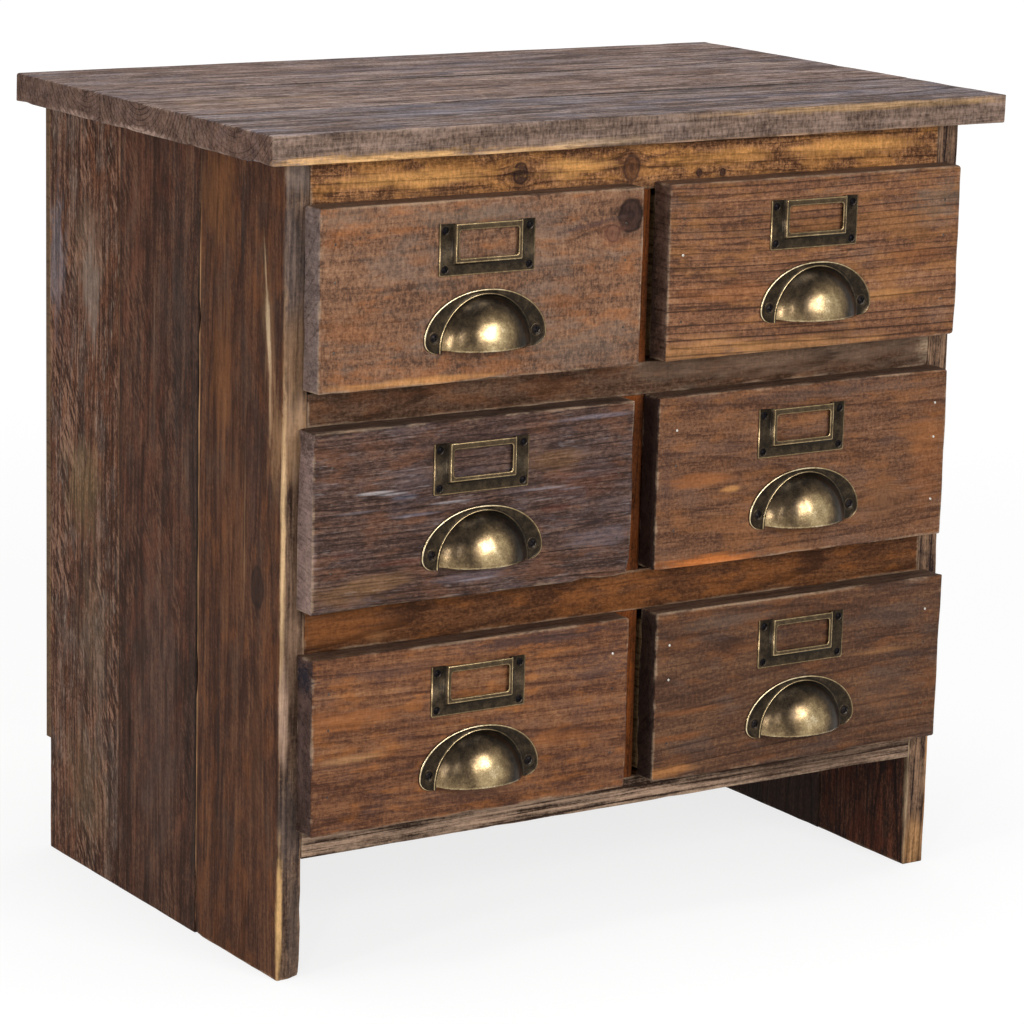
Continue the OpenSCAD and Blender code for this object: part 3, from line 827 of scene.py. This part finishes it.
LOOKS["middle_left_front"] = dict(
    wood=((54, 39, 34), (82, 61, 53), (111, 87, 75)),
    rings=0.25, ring_gap=4.0, pith=(-45, 34), tilt=0.02, fuzz=0.62, fibres=0.5,
    veins=0.4, fine=(200, 600, 600), hair=(60, 480, 480), blotches=0.4,
    warm=((112, 74, 52), 0.45), grey=((90, 76, 76), 0.5),
    scratch=((166, 156, 154), 0.22),
    end=((80, 62, 58), (166, 140, 131), 0.9), rough=0.6, depth=0.5,
    marks=(
        ((0, 30, 5), (5, 34, 6), (160, 134, 122), 0.6), ((0, 118, 10), (5, 12, 14), SOOT_AND_SHADE, 0.6),
        ((210, 70), (36, 12), RED_BROWN, 0.3), ((190, 88), (24, 9), (140, 102, 68), 0.35),
        ((30, 12), (40, 8), (138, 100, 64), 0.35), ((52, 18), (30, 7), (140, 104, 68), 0.3),
        ((47, 78), (16, 1.2), (186, 180, 180), 0.5), ((62, 76), (12, 1), (170, 164, 166), 0.45),
        ((70, 73), (12, 2), (96, 98, 112), 0.45), ((106, 66), (18, 1.1), (166, 160, 162), 0.45),
        ((80, 60), (20, 1.3), (104, 106, 120), 0.45), ((34, 66), (18, 1), (130, 122, 126), 0.35),
        ((183, 68), (22, 1.1), (154, 146, 150), 0.45), ((204, 66), (12, 0.9), (140, 132, 136), 0.4),
        ((220, 114), (34, 1.8), (118, 112, 122), 0.45), ((124, 13), (32, 4), (118, 104, 110), 0.4),
        ((130, 11), (22, 1), (156, 146, 152), 0.45), ((188, 54), (14, 3), (96, 54, 42), 0.4),
        ((72, 29), (24, 2), (106, 60, 44), 0.35), ((22, 38), (18, 2), (106, 64, 48), 0.3),
        ((130, 104), (60, 9), PURPLE, 0.5), ((225, 30), (28, 8), (112, 100, 104), 0.4),
        ((214, 78), (26, 1.5), SOOT_AND_SHADE, 0.6)))
LOOKS["middle_right_front"] = dict(
    wood=((74, 49, 36), (108, 74, 53), (136, 98, 73)),
    rings=0.15, ring_gap=6, pith=(60, 60), fuzz=0.5, fibres=0.3, veins=0.2,
    fine=(360, 560, 560), ticks=0.5, blotches=0.35,
    warm=((138, 90, 54), 0.45), grey=((102, 80, 70), 0.3),
    # The ends are painted very dark: painted shade, as the next front shades the left end
    end=((20, 13, 13), (50, 37, 34), 0.92),
    knots=(((200, 30), (6, 7), (104, 74, 54), (84, 56, 42)),),
    marks=(
        ((43, 2), (48, 5), (190, 110, 52), 0.75), ((37, 61), (34, 6), ORANGE, 0.6),
        ((198, 31), (26, 14), (126, 86, 58), 0.45), ((64, 52), (10, 2.5), GOLD, 0.7),
        ((238, 60), (16, 44), ORANGE, 0.35), ((150, 114), (90, 5), (94, 78, 70), 0.4),
        ((8, 62), (5, 30), PURPLE, 0.35)))
LOOKS["bottom_left_front"] = dict(
    wood=((76, 48, 35), (111, 73, 50), (142, 100, 69)),
    rings=0.14, ring_gap=6.5, pith=(20, 55), fuzz=0.4, fibres=0.45,
    fine=(240, 600, 600), ticks=0.5, blotches=0.25, veins=0.15, bands=0.4,
    warm=((148, 92, 48), 0.5), grey=((92, 70, 64), 0.25),
    end=((24, 17, 17), (98, 78, 73), 0.9),
    marks=(
        ((0, 108, 11), (5, 12, 11), (30, 34, 44), 0.8), ((0, 14, 12), (5, 20, 12), SOOT_AND_SHADE, 0.6),
        ((0, 62, 14), (5, 40, 4), (104, 84, 78), 0.4),
        ((175, 116), (60, 6), PURPLE, 0.75), ((227, 88), (30, 10), PURPLE, 0.6),
        ((25, 79), (40, 8), ORANGE, 0.6), ((30, 51), (26, 3), (176, 130, 88), 0.6),
        ((120, 12), (90, 7), PURPLE, 0.3), ((200, 44), (36, 7), ORANGE, 0.45),
        ((60, 108), (50, 5), (96, 68, 56), 0.5)))
LOOKS["bottom_right_front"] = dict(
    wood=((68, 46, 35), (91, 63, 46), (122, 88, 62)),
    rings=0.2, ring_gap=6, pith=(90, 50), fuzz=0.48, fibres=0.35,
    fine=(300, 560, 560), ticks=0.5, blotches=0.3, veins=0.2,
    warm=((120, 76, 46), 0.45), grey=((90, 75, 68), 0.35),
    # The ends are painted very dark: painted shade, as the next front shades the left end
    end=((24, 18, 17), (60, 46, 41), 0.9),
    marks=(
        ((11, 6), (24, 5), (176, 118, 68), 0.6), ((200, 71), (34, 2), (150, 106, 68), 0.45),
        ((63, 110), (40, 6), (94, 82, 74), 0.4), ((20, 30), (30, 3), ORANGE, 0.4),
        ((30, 48), (34, 2.5), ORANGE, 0.35), ((205, 40), (30, 20), (96, 76, 64), 0.3)))
LOOKS["top_rail"] = dict(
    wood=((78, 50, 33), (125, 85, 56), (178, 128, 85)),
    rings=0.3, ring_gap=4.5, pith=(-20, 30), tilt=0.01, fuzz=0.6, ticks=1.0,
    fine=(360, 560, 560), blotches=0.5,
    veins=0.3, side=((80, 56, 40), (120, 88, 62), 0.7),
    warm=((190, 132, 72), 0.5), grey=((116, 84, 60), 0.25),
    knots=(
        ((161.5, 16), (6, 8), KNOT, KNOT_RIM), ((251.5, 15), (7, 9), (96, 62, 40), KNOT),
        ((308, 9), (2.5, 3), KNOT, KNOT_RIM), ((328, 8), (2.5, 3), KNOT, KNOT_RIM)),
    marks=(
        ((80, 17), (70, 6), (208, 152, 88), 0.65), ((206, 18), (32, 7), (216, 158, 92), 0.7),
        ((330, 19), (50, 6), (200, 142, 78), 0.6), ((440, 20), (70, 6), (206, 148, 82), 0.6),
        # The dark band high on the rail is painted shadow under the top's overhang; the other
        # darkens it along the bottom
        ((258, 32), (280, 5), (80, 52, 34), 0.65), ((250, 3), (280, 4), (84, 56, 38), 0.6),
        ((80, 7), (80, 3), (92, 64, 44), 0.5)))
LOOKS["upper_rail"] = dict(
    wood=((66, 45, 32), (90, 65, 50), (114, 87, 67)),
    rings=0.3, fuzz=0.65, ticks=0.5, blotches=0.4,
    warm=((112, 70, 42), 0.4), grey=((88, 78, 68), 0.35),
    marks=(
        ((515, 16), (9, 12), (170, 146, 120), 0.7), ((400, 22), (140, 16), (122, 98, 80), 0.7)))
LOOKS["lower_rail"] = dict(
    wood=((70, 42, 25), (97, 61, 37), (124, 82, 51)),
    rings=0.3, fuzz=0.6, ticks=0.4,
    warm=((136, 82, 40), 0.5), grey=((84, 62, 46), 0.2),
    marks=(
        ((56, 6), (10, 5), (132, 92, 60), 0.6), ((30, 16), (40, 12), (140, 84, 42), 0.5),
        ((180, 28), (120, 5), (84, 54, 34), 0.4)))
LOOKS["bottom_panel"] = dict(
    wood=((74, 54, 42), (104, 80, 62), (150, 126, 106)), saw=0.2,
    rings=0.5, ring_gap=4.2, tilt=0.01, side=((40, 26, 18), (182, 152, 128), 0.9),
    side_pattern=(0.8, 2.2, 0.6, 0.3),
    marks=(
        ((430, 0, 9), (130, 4, 12), (76, 57, 45), 0.55),
        ((420, 0, 18), (160, 4, 3), (50, 36, 28), 0.5)))
LOOKS["left_front_plank"] = dict(
    wood=((60, 36, 25), (83, 52, 36), (109, 73, 49)), side_pattern=(1.0, 1.6, 0.9, 0.1),
    rings=0.2, ring_gap=7, pith=(40, 60), fuzz=0.4, fibres=0.55, whiskers=0.2,
    bands=0.8, blotches=0.45, veins=0.25,
    warm=((112, 68, 40), 0.5), grey=((76, 58, 48), 0.4),
    side=((48, 36, 30), (140, 114, 94), 0.8), arris=((160, 128, 98), 0.5),
    knots=(((266, 32), (15, 9), (54, 35, 27), KNOT_RIM),),
    marks=(
        # Painted shadow on the front edge: darker beside the drawer fronts, mostly towards its
        # inner side, and paler between them
        ((545, 0, 9), (14, 3, 12), (118, 104, 96), 0.6),
        ((490, 0, 6), (42, 3, 14), (94, 83, 80), 0.55),
        ((425, 0, 8), (30, 3, 12), (130, 100, 74), 0.55),
        ((372, 0, 9), (34, 3, 12), (164, 130, 98), 0.6),
        ((300, 0, 1), (110, 3, 2.4), (212, 176, 132), 0.8),
        ((310, 0, 13), (44, 3, 7), (76, 56, 44), 0.6),
        ((230, 0, 9), (50, 3, 9), (112, 88, 70), 0.5),
        ((185, 0, 3), (38, 3, 4), (184, 152, 130), 0.75),
        ((110, 0, 8), (40, 3, 12), (76, 66, 63), 0.6),
        ((40, 0, 1), (52, 3, 3), (212, 168, 112), 0.85),
        ((40, 0, 13), (50, 3, 7), (66, 57, 53), 0.6),
        ((440, 21), (58, 8), (140, 106, 78), 0.55, -7),
        ((474, 24.5), (32, 1.6), (184, 152, 118), 0.8, -7),
        ((440, 20.8), (30, 3), PALE_STREAK, 0.95, -6),
        ((400, 18), (36, 2), (184, 150, 116), 0.7, -2),
        ((464, 13), (50, 4), SOOT_AND_SHADE, 0.4, -7), ((368, 8), (40, 9), (150, 114, 82), 0.6),
        ((300, 10), (60, 4), (70, 46, 32), 0.4),
        ((520, 90), (34, 26), (120, 78, 46), 0.6), ((400, 84), (44, 18), (122, 78, 46), 0.5),
        ((300, 64), (60, 24), (104, 66, 42), 0.4), ((330, 40), (60, 10), PURPLE, 0.3),
        ((505, 56), (44, 3), SOOT_AND_SHADE, 0.8), ((410, 54), (60, 2), SOOT_AND_SHADE, 0.6),
        ((300, 50), (60, 1.4), (150, 112, 82), 0.5), ((170, 84), (120, 2.2), SOOT_AND_SHADE, 0.5),
        ((150, 30), (60, 8), (96, 62, 40), 0.4), ((280, 114.5), (300, 1.6), (180, 136, 94), 0.85)))
LOOKS["left_middle_plank"] = dict(
    wood=((56, 34, 24), (79, 50, 36), (107, 74, 55)),
    rings=0.15, ring_gap=6, pith=(60, 50), fuzz=0.5, fibres=0.55, whiskers=0.5,
    bands=0.8, blotches=0.6, veins=0.25,
    warm=((104, 62, 44), 0.45), grey=((80, 62, 53), 0.4),
    side=((50, 36, 30), (90, 70, 60), 0.8), arris=((120, 92, 70), 0.2),
    marks=(
        # The broad dark band along the front edge is painted shade beside the seam with the front
        # plank; the narrow line at the edge is the dark joint
        ((280, 5), (320, 10), SOOT_AND_SHADE, 0.65), ((280, 1), (320, 1.6), (34, 24, 20), 0.85),
        ((150, 60), (120, 34), (86, 68, 60), 0.35), ((300, 88), (200, 1.2), SOOT_AND_SHADE, 0.5),
        ((430, 28), (110, 14), (56, 46, 42), 0.5), ((280, 114.5), (300, 1.4), SOOT_AND_SHADE, 0.7),
        ((400, 64), (70, 1.4), (120, 92, 76), 0.5), ((330, 16), (40, 3), (126, 100, 84), 0.4)))
LOOKS["left_rear_plank"] = dict(
    wood=((63, 39, 27), (94, 62, 47), (134, 100, 80)),
    rings=0.2, ring_gap=5, pith=(30, 40), fuzz=0.8, fibres=0.8, whiskers=1.0,
    bands=0.6, blotches=0.7, veins=0.35, hair=(90, 480, 480),
    warm=((112, 68, 44), 0.5), grey=((112, 94, 84), 0.45),
    scratch=((180, 160, 142), 0.45),
    side=((50, 36, 30), (96, 76, 64), 0.8), arris=((130, 104, 84), 0.25),
    marks=(
        ((442, 98), (48, 15), (128, 120, 124), 0.6), ((455, 50), (40, 24), (142, 114, 94), 0.5),
        ((424, 44), (34, 14), (160, 144, 132), 0.4), ((392, 84), (36, 20), (80, 50, 40), 0.45),
        ((285, 56), (38, 30), (136, 110, 78), 0.5), ((180, 40), (60, 26), (128, 106, 86), 0.4),
        ((60, 50), (50, 34), (126, 102, 76), 0.4), ((300, 1), (260, 1.3), (140, 104, 78), 0.4)))
LOOKS["right_front_plank"] = dict(
    wood=((36, 20, 14), (68, 39, 26), (108, 67, 47)),
    rings=0.4, fuzz=0.7, fibres=0.6, blotches=0.6, saw=0.2,
    warm=((92, 46, 28), 0.5), grey=((60, 44, 38), 0.3),
    side=((38, 27, 26), (152, 120, 94), 0.88), side_pattern=(1.0, 1.8, 1.0, 0.4),
    arris=((162, 138, 114), 0.3),
    marks=(
        ((14, 0, 9), (24, 3, 12), (190, 140, 88), 0.5),
        ((60, 0, 0), (60, 4, 1.6), PALE_STREAK, 0.5),
        ((70, 0, 18), (70, 4, 2), GOLD, 0.5), ((300, 0, 18), (120, 4, 1.6), (190, 150, 104), 0.4),
        ((50, 112, 0), (60, 3.5, 3), (132, 106, 78), 0.8)))
LOOKS["right_middle_plank"] = dict(
    wood=((40, 27, 21), (62, 42, 33), (88, 62, 50)),
    rings=0.3, warm=((84, 50, 36), 0.4), grey=((64, 52, 46), 0.3),
    side=((50, 36, 30), (90, 70, 60), 0.8))
LOOKS["right_rear_plank"] = dict(
    wood=((44, 30, 23), (66, 45, 36), (92, 66, 54)),
    rings=0.3, warm=((84, 50, 36), 0.4), grey=((66, 54, 48), 0.3),
    side=((50, 36, 30), (90, 70, 60), 0.8))
LOOKS["top_front_board"] = dict(
    WEATHERED, wood=((76, 61, 56), (113, 96, 91), (148, 132, 127)),
    pith=(50, 50), end_rings=0.2, saw=1.1, side_pattern=(0.6, 0.5, 0.7, 0.06),
    warm=((120, 92, 76), 0.45), grey=((112, 108, 118), 0.45),
    scratch=((176, 170, 178), 0.4),
    side=((64, 50, 42), (148, 123, 107), 0.85),
    end=((50, 33, 26), (134, 102, 86), 0.85), arris=((150, 128, 112), 0.4),
    marks=(
        ((80, 0, 1), (90, 6, 5), (222, 172, 112), 0.8),
        ((200, 0, 1), (60, 6, 3), (200, 156, 104), 0.6),
        ((250, 0, 4), (50, 6, 3), (190, 160, 128), 0.45),
        ((420, 0, 0), (200, 6, 1.6), (176, 134, 92), 0.35),
        ((480, 0, 17), (150, 6, 3), (190, 150, 98), 0.45),
        ((200, 96), (110, 7), (92, 88, 102), 0.45), ((430, 60), (140, 9), (98, 94, 108), 0.4),
        ((150, 60), (70, 12), (130, 126, 136), 0.4), ((400, 112), (270, 4), SEAM, 0.95)))
LOOKS["top_middle_board"] = dict(
    WEATHERED, wood=((83, 64, 57), (124, 103, 95), (161, 141, 130)),
    ring_gap=3.6, pith=(70, 40), end_rings=0.3,
    warm=((132, 102, 84), 0.45), grey=((120, 110, 116), 0.4),
    scratch=((172, 162, 162), 0.35),
    end=((48, 32, 25), (136, 104, 88), 0.85), arris=((150, 128, 112), 0.3),
    marks=(
        ((0, 64, 1), (5, 46, 3), (196, 166, 150), 0.6), ((400, 0), (270, 3), SEAM, 0.9),
        ((320, 127), (320, 3.4), SEAM, 0.9), ((170, 14), (26, 8), (84, 66, 62), 0.5),
        ((90, 60), (60, 12), (160, 132, 108), 0.4)))
LOOKS["top_rear_board"] = dict(
    WEATHERED, wood=((80, 62, 56), (121, 101, 94), (156, 136, 127)),
    pith=(20, 45), end_rings=0.25,
    warm=((126, 98, 82), 0.45), grey=((112, 106, 114), 0.4),
    scratch=((168, 160, 162), 0.3),
    end=((52, 35, 28), (134, 103, 87), 0.85), arris=((140, 118, 104), 0.3),
    marks=(
        ((0, 40, 1), (5, 34, 3), (190, 158, 142), 0.55), ((300, 0), (330, 3.4), SEAM, 0.9),
        ((260, 60), (120, 8), (104, 92, 100), 0.4)))
LOOKS["centre_divider"] = dict(
    wood=((54, 28, 12), (106, 53, 21), (138, 74, 33)), rings=0.2,
    side=((54, 28, 12), (132, 70, 29), 0.85), arris=((60, 30, 14), 0.3))
LOOKS["drawer_box"] = dict(
    wood=((120, 92, 62), (164, 130, 92), (190, 156, 116)),
    rings=0.35, warm=((170, 124, 80), 0.3), grey=((150, 130, 108), 0.2),
    end=((110, 84, 58), (160, 128, 92), 0.7),
    side=((120, 92, 62), (178, 144, 104), 0.7), arris=((190, 160, 120), 0.3))
LOOKS["plywood"] = dict(
    wood=((150, 118, 80), (186, 152, 108), (206, 174, 130)),
    rings=0.25, ring_gap=9, pith=(60, 12), tilt=0.03, fibres=0.25,
    warm=((190, 146, 98), 0.3), grey=((170, 150, 122), 0.2),
    end=((62, 46, 38), (112, 84, 62), 0.9),
    side=((62, 46, 38), (112, 84, 62), 0.9), arris=((110, 84, 64), 0.3))

# Which way each board's grain runs and which way it is wide: 0 is X, 1 is Y, 2 is Z
ALONG_X_WIDE_Z = (0, 2)
ALONG_X_WIDE_Y = (0, 1)
ALONG_Z_WIDE_Y = (2, 1)
ALONG_Y_WIDE_Z = (1, 2)

# Each board's name, grain, slot, rounding of its arrises in millimetres, and wear
CASE_BOARDS = (
    ("top_front_board", ALONG_X_WIDE_Y, "weathered_board", 1.3, 1.0),
    ("top_middle_board", ALONG_X_WIDE_Y, "weathered_board", 1.1, 0.8),
    ("top_rear_board", ALONG_X_WIDE_Y, "weathered_board", 1.1, 0.8),
    ("left_front_plank", ALONG_Z_WIDE_Y, "side_plank", 1.0, 1.1),
    ("left_middle_plank", ALONG_Z_WIDE_Y, "side_plank", 0.7, 0.7),
    ("left_rear_plank", ALONG_Z_WIDE_Y, "side_plank", 0.8, 0.9),
    ("right_front_plank", ALONG_Z_WIDE_Y, "side_plank", 1.0, 1.1),
    ("right_middle_plank", ALONG_Z_WIDE_Y, "side_plank", 0.7, 0.7),
    ("right_rear_plank", ALONG_Z_WIDE_Y, "side_plank", 0.8, 0.9),
    ("top_rail", ALONG_X_WIDE_Z, "rail_wood", 0.8, 0.8),
    ("upper_rail", ALONG_X_WIDE_Z, "rail_wood", 0.8, 0.8),
    ("lower_rail", ALONG_X_WIDE_Z, "rail_wood", 0.8, 0.8),
    ("bottom_panel", ALONG_X_WIDE_Y, "rail_wood", 0.9, 0.9))

for seed, (node, grain, slot, ease, wear) in enumerate(CASE_BOARDS, start=11):
    board = Board(node, *grain)
    finish = Wood(node + "_wood", board, LOOKS[node], seed)
    shape = plank(board, ease * MM, wear, seed)
    make_piece(node + "_piece", shape, finish.material, "case", [node])

# The boards that keep their CAD shape
plain_boards = [
    ("centre_divider", ALONG_Z_WIDE_Y, "centre_divider"), ("back_panel", ALONG_X_WIDE_Z, "plywood"),
    ("drawer_runners", ALONG_Y_WIDE_Z, "drawer_box"), ("top_cleats", ALONG_Y_WIDE_Z, "drawer_box")]
for drawer in DRAWERS:
    plain_boards.append((drawer + "_box_sides", ALONG_Y_WIDE_Z, "drawer_box"))
    plain_boards.append((drawer + "_box_back", ALONG_X_WIDE_Z, "drawer_box"))
    plain_boards.append((drawer + "_base", ALONG_X_WIDE_Y, "plywood"))
for seed, (node, grain, look) in enumerate(plain_boards, start=41):
    finish = Wood(node + "_wood", Board(node, *grain), LOOKS[look], seed)
    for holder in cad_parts[node].material_slots:
        holder.material = finish.material
screw_steel = dark_steel("cleat_screw_steel", 3)
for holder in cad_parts["cleat_screws"].material_slots:
    holder.material = screw_steel

# Heights of the nails over the front's lower edge, how far they are in from the drawer box's
# outer faces, and the ones that shine in the photograph
NAIL_HEIGHTS = (27, 73, 98)
NAIL_IN = 6
BRIGHT_NAILS = {
    "top_right": [(-1, 73)], "middle_right": [(-1, 98), (1, 98), (1, 73), (1, 27)],
    "bottom_left": [(1, 98)], "bottom_right": [(-1, 98), (-1, 73), (1, 98)]}
DULL_NAIL = 0.42
# How far the label holder's screws are from its middle, to each side and up or down
LABEL_SCREWS = (33, 13)
# The fronts' arrises: rounding in millimetres, and wear
FRONT_EASE = 1.3
FRONT_WEAR = 1.1
ROUGHEST_FRONT = "middle_left"
ROUGHEST_WEAR = 1.8

for seed, drawer in enumerate(DRAWERS, start=81):
    body = drawer + "_drawer"
    node = drawer + "_front"
    board = Board(node, *ALONG_X_WIDE_Z)
    finish = Wood(node + "_wood", board, LOOKS[node], seed)
    wear = ROUGHEST_WEAR if drawer == ROUGHEST_FRONT else FRONT_WEAR
    shape = plank(board, FRONT_EASE * MM, wear, seed)
    make_piece(node + "_piece", shape, finish.material, body, [node])

    face_y = board.low.y
    low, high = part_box(drawer + "_cup_pull")
    pull_at = ((low.x + high.x) / 2, low.z - FLANGE_FOOT * MM)
    place = on_front(pull_at, face_y)
    brass = antique_brass(drawer + "_pull_brass", (pull_at[0], face_y, pull_at[1]), seed)
    pull = [make_flange(place), make_hood(place)]
    heads = []
    for side in (-1, 1):
        screw = on_front((pull_at[0] + side * PULL_SCREWS * MM, pull_at[1]), face_y)
        pull.append(make_collar(screw))
        heads.append(make_head(screw, PULL_SCREW, True, PULL_SCREW_RUBBED, seed * 1.7 + side))
    make_piece(
        drawer + "_cup_pull_piece", join(pull), brass, body,
        [drawer + "_cup_pull"])

    low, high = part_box(drawer + "_label_holder")
    label_at = ((low.x + high.x) / 2, (low.z + high.z) / 2)
    place = on_front(label_at, face_y)
    brass = antique_brass(drawer + "_label_brass", (label_at[0], face_y, label_at[1]), seed + 7)
    label = join([make_trough(place), make_card_frame(place)])
    make_piece(
        drawer + "_label_holder_piece", label, brass, body,
        [drawer + "_label_holder"])
    box_low, box_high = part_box(drawer + "_box_sides")
    for side in (-1, 1):
        for end in (-1, 1):
            aside, over = (part * MM for part in LABEL_SCREWS)
            screw = on_front((label_at[0] + side * aside, label_at[1] + end * over), face_y)
            heads.append(make_head(screw, LABEL_SCREW, True, LABEL_SCREW_RUBBED, seed + side + end))
        nail_x = box_low.x + NAIL_IN * MM if side < 0 else box_high.x - NAIL_IN * MM
        for up in NAIL_HEIGHTS:
            shine = 1.0 if (side, up) in BRIGHT_NAILS.get(drawer, []) else DULL_NAIL
            nail = on_front((nail_x, board.low.z + up * MM), face_y)
            heads.append(make_head(nail, NAIL, False, shine))
    make_piece(
        drawer + "_screws_and_nails", join(heads), dark_steel(drawer + "_steel", seed), body,
        [drawer + "_fasteners"])


def grey(share):
    """A grey that gives back this share of the light."""
    return (share, share, share, 1.0)


FLOOR_HALF = 20.0
PALE_GREY = grey(0.8)
# How much of the shadow shows on the floor, and its own glow near the nightstand and far away
FLOOR_SHADING = grey(0.25)
NEAR_GLOW = grey(0.79)
FAR_GLOW = grey(0.95)
NEAR = 0.5
FAR = 3.0


def floor_finish():
    """White with its shadow for what the camera and the metal see, and plain for other light."""
    finish = Finish("studio_floor")
    plain = finish.node("ShaderNodeBsdfDiffuse", {}, {"Color": PALE_GREY})
    shaded = finish.node("ShaderNodeBsdfDiffuse", {}, {"Color": FLOOR_SHADING})
    reach = finish.span(finish.length(finish.position), NEAR, FAR)
    white = finish.mix(NEAR_GLOW, FAR_GLOW, reach)
    glow = finish.node("ShaderNodeEmission", {}, {"Color": white, "Strength": 1.0})
    shown = finish.node("ShaderNodeAddShader", {}, {0: shaded, 1: glow})
    both = finish.node("ShaderNodeMixShader", {}, {0: finish.seen(), 1: plain, 2: shown})
    finish.node("ShaderNodeOutputMaterial", {}, {"Surface": both}, out=None)
    return finish.material


floor_shape = bmesh.new()
bmesh.ops.create_grid(floor_shape, x_segments=4, y_segments=4, size=FLOOR_HALF)
floor = make_object("floor", floor_shape, floor_finish())

# How strong the light from all round is, beside what the metal shows of the studio
AROUND = 0.38
world = bpy.data.worlds.new("studio")
bpy.context.scene.world = world
world.use_nodes = True
sky = Nodes(world.node_tree)
lit = sky.node("ShaderNodeBackground", {}, {"Color": PALE_GREY, "Strength": AROUND})
shown = sky.node("ShaderNodeBackground", {}, {"Color": PALE_GREY, "Strength": 1.0})
both = sky.node("ShaderNodeMixShader", {}, {0: sky.seen(), 1: lit, 2: shown})
sky.node("ShaderNodeOutputWorld", {}, {"Surface": both}, out=None)

LIGHT_AIM = Vector((0, -0.1, 0.3))
# Softboxes: name, direction from the nightstand, distance, width, height, power
SOFTBOXES = (
    ("front_softbox", (0.14, -0.92, 0.34), 2.2, 1.1, 0.85, 26.5),
    ("left_front_card", (-0.67, -0.67, 0.31), 2.2, 0.1, 0.55, 6.0),
    ("left_card", (-0.94, -0.26, 0.21), 2.2, 0.2, 0.45, 10.0),
    ("overhead_softbox", (0.0, 0.1, 0.99), 2.0, 1.4, 1.4, 22.0))
for name, way, distance, wide, high, power in SOFTBOXES:
    lamp = bpy.data.lights.new(name, "AREA")
    lamp.shape = "RECTANGLE"
    lamp.size = wide
    lamp.size_y = high
    lamp.energy = power
    box = bpy.data.objects.new(name, lamp)
    way = Vector(way).normalized()
    box.location = LIGHT_AIM + way * distance
    box.rotation_euler = way.to_track_quat("Z", "Y").to_euler()
    bpy.context.scene.collection.objects.link(box)

# The camera, as fitted to the photograph's edges
CAMERA_LENS = 139.22
CAMERA_TURN = -33.165
CAMERA_DIP = 12.812
CAMERA_ROLL = 1.461
CAMERA_AIM = Vector((-0.0969, -0.15285, 0.3057))
CAMERA_DISTANCE = 2.691

turn, dip, roll = (math.radians(part) for part in (CAMERA_TURN, CAMERA_DIP, CAMERA_ROLL))
forward = Vector((-math.sin(turn) * math.cos(dip), math.cos(turn) * math.cos(dip), -math.sin(dip)))
level_right = forward.cross(Vector((0, 0, 1))).normalized()
level_up = level_right.cross(forward)
right = level_right * math.cos(roll) + level_up * math.sin(roll)
up = level_up * math.cos(roll) - level_right * math.sin(roll)
camera_data = bpy.data.cameras.new("camera")
camera_data.lens = CAMERA_LENS
camera_data.sensor_width = 36.0
camera_data.clip_start = 0.05
camera_data.clip_end = 200.0
camera = bpy.data.objects.new("camera", camera_data)
bpy.context.scene.collection.objects.link(camera)
axes = Matrix((right, up, -forward)).transposed().to_4x4()
camera.matrix_world = Matrix.Translation(CAMERA_AIM - forward * CAMERA_DISTANCE) @ axes
bpy.context.scene.camera = camera
bpy.context.scene.view_settings.view_transform = "Standard"
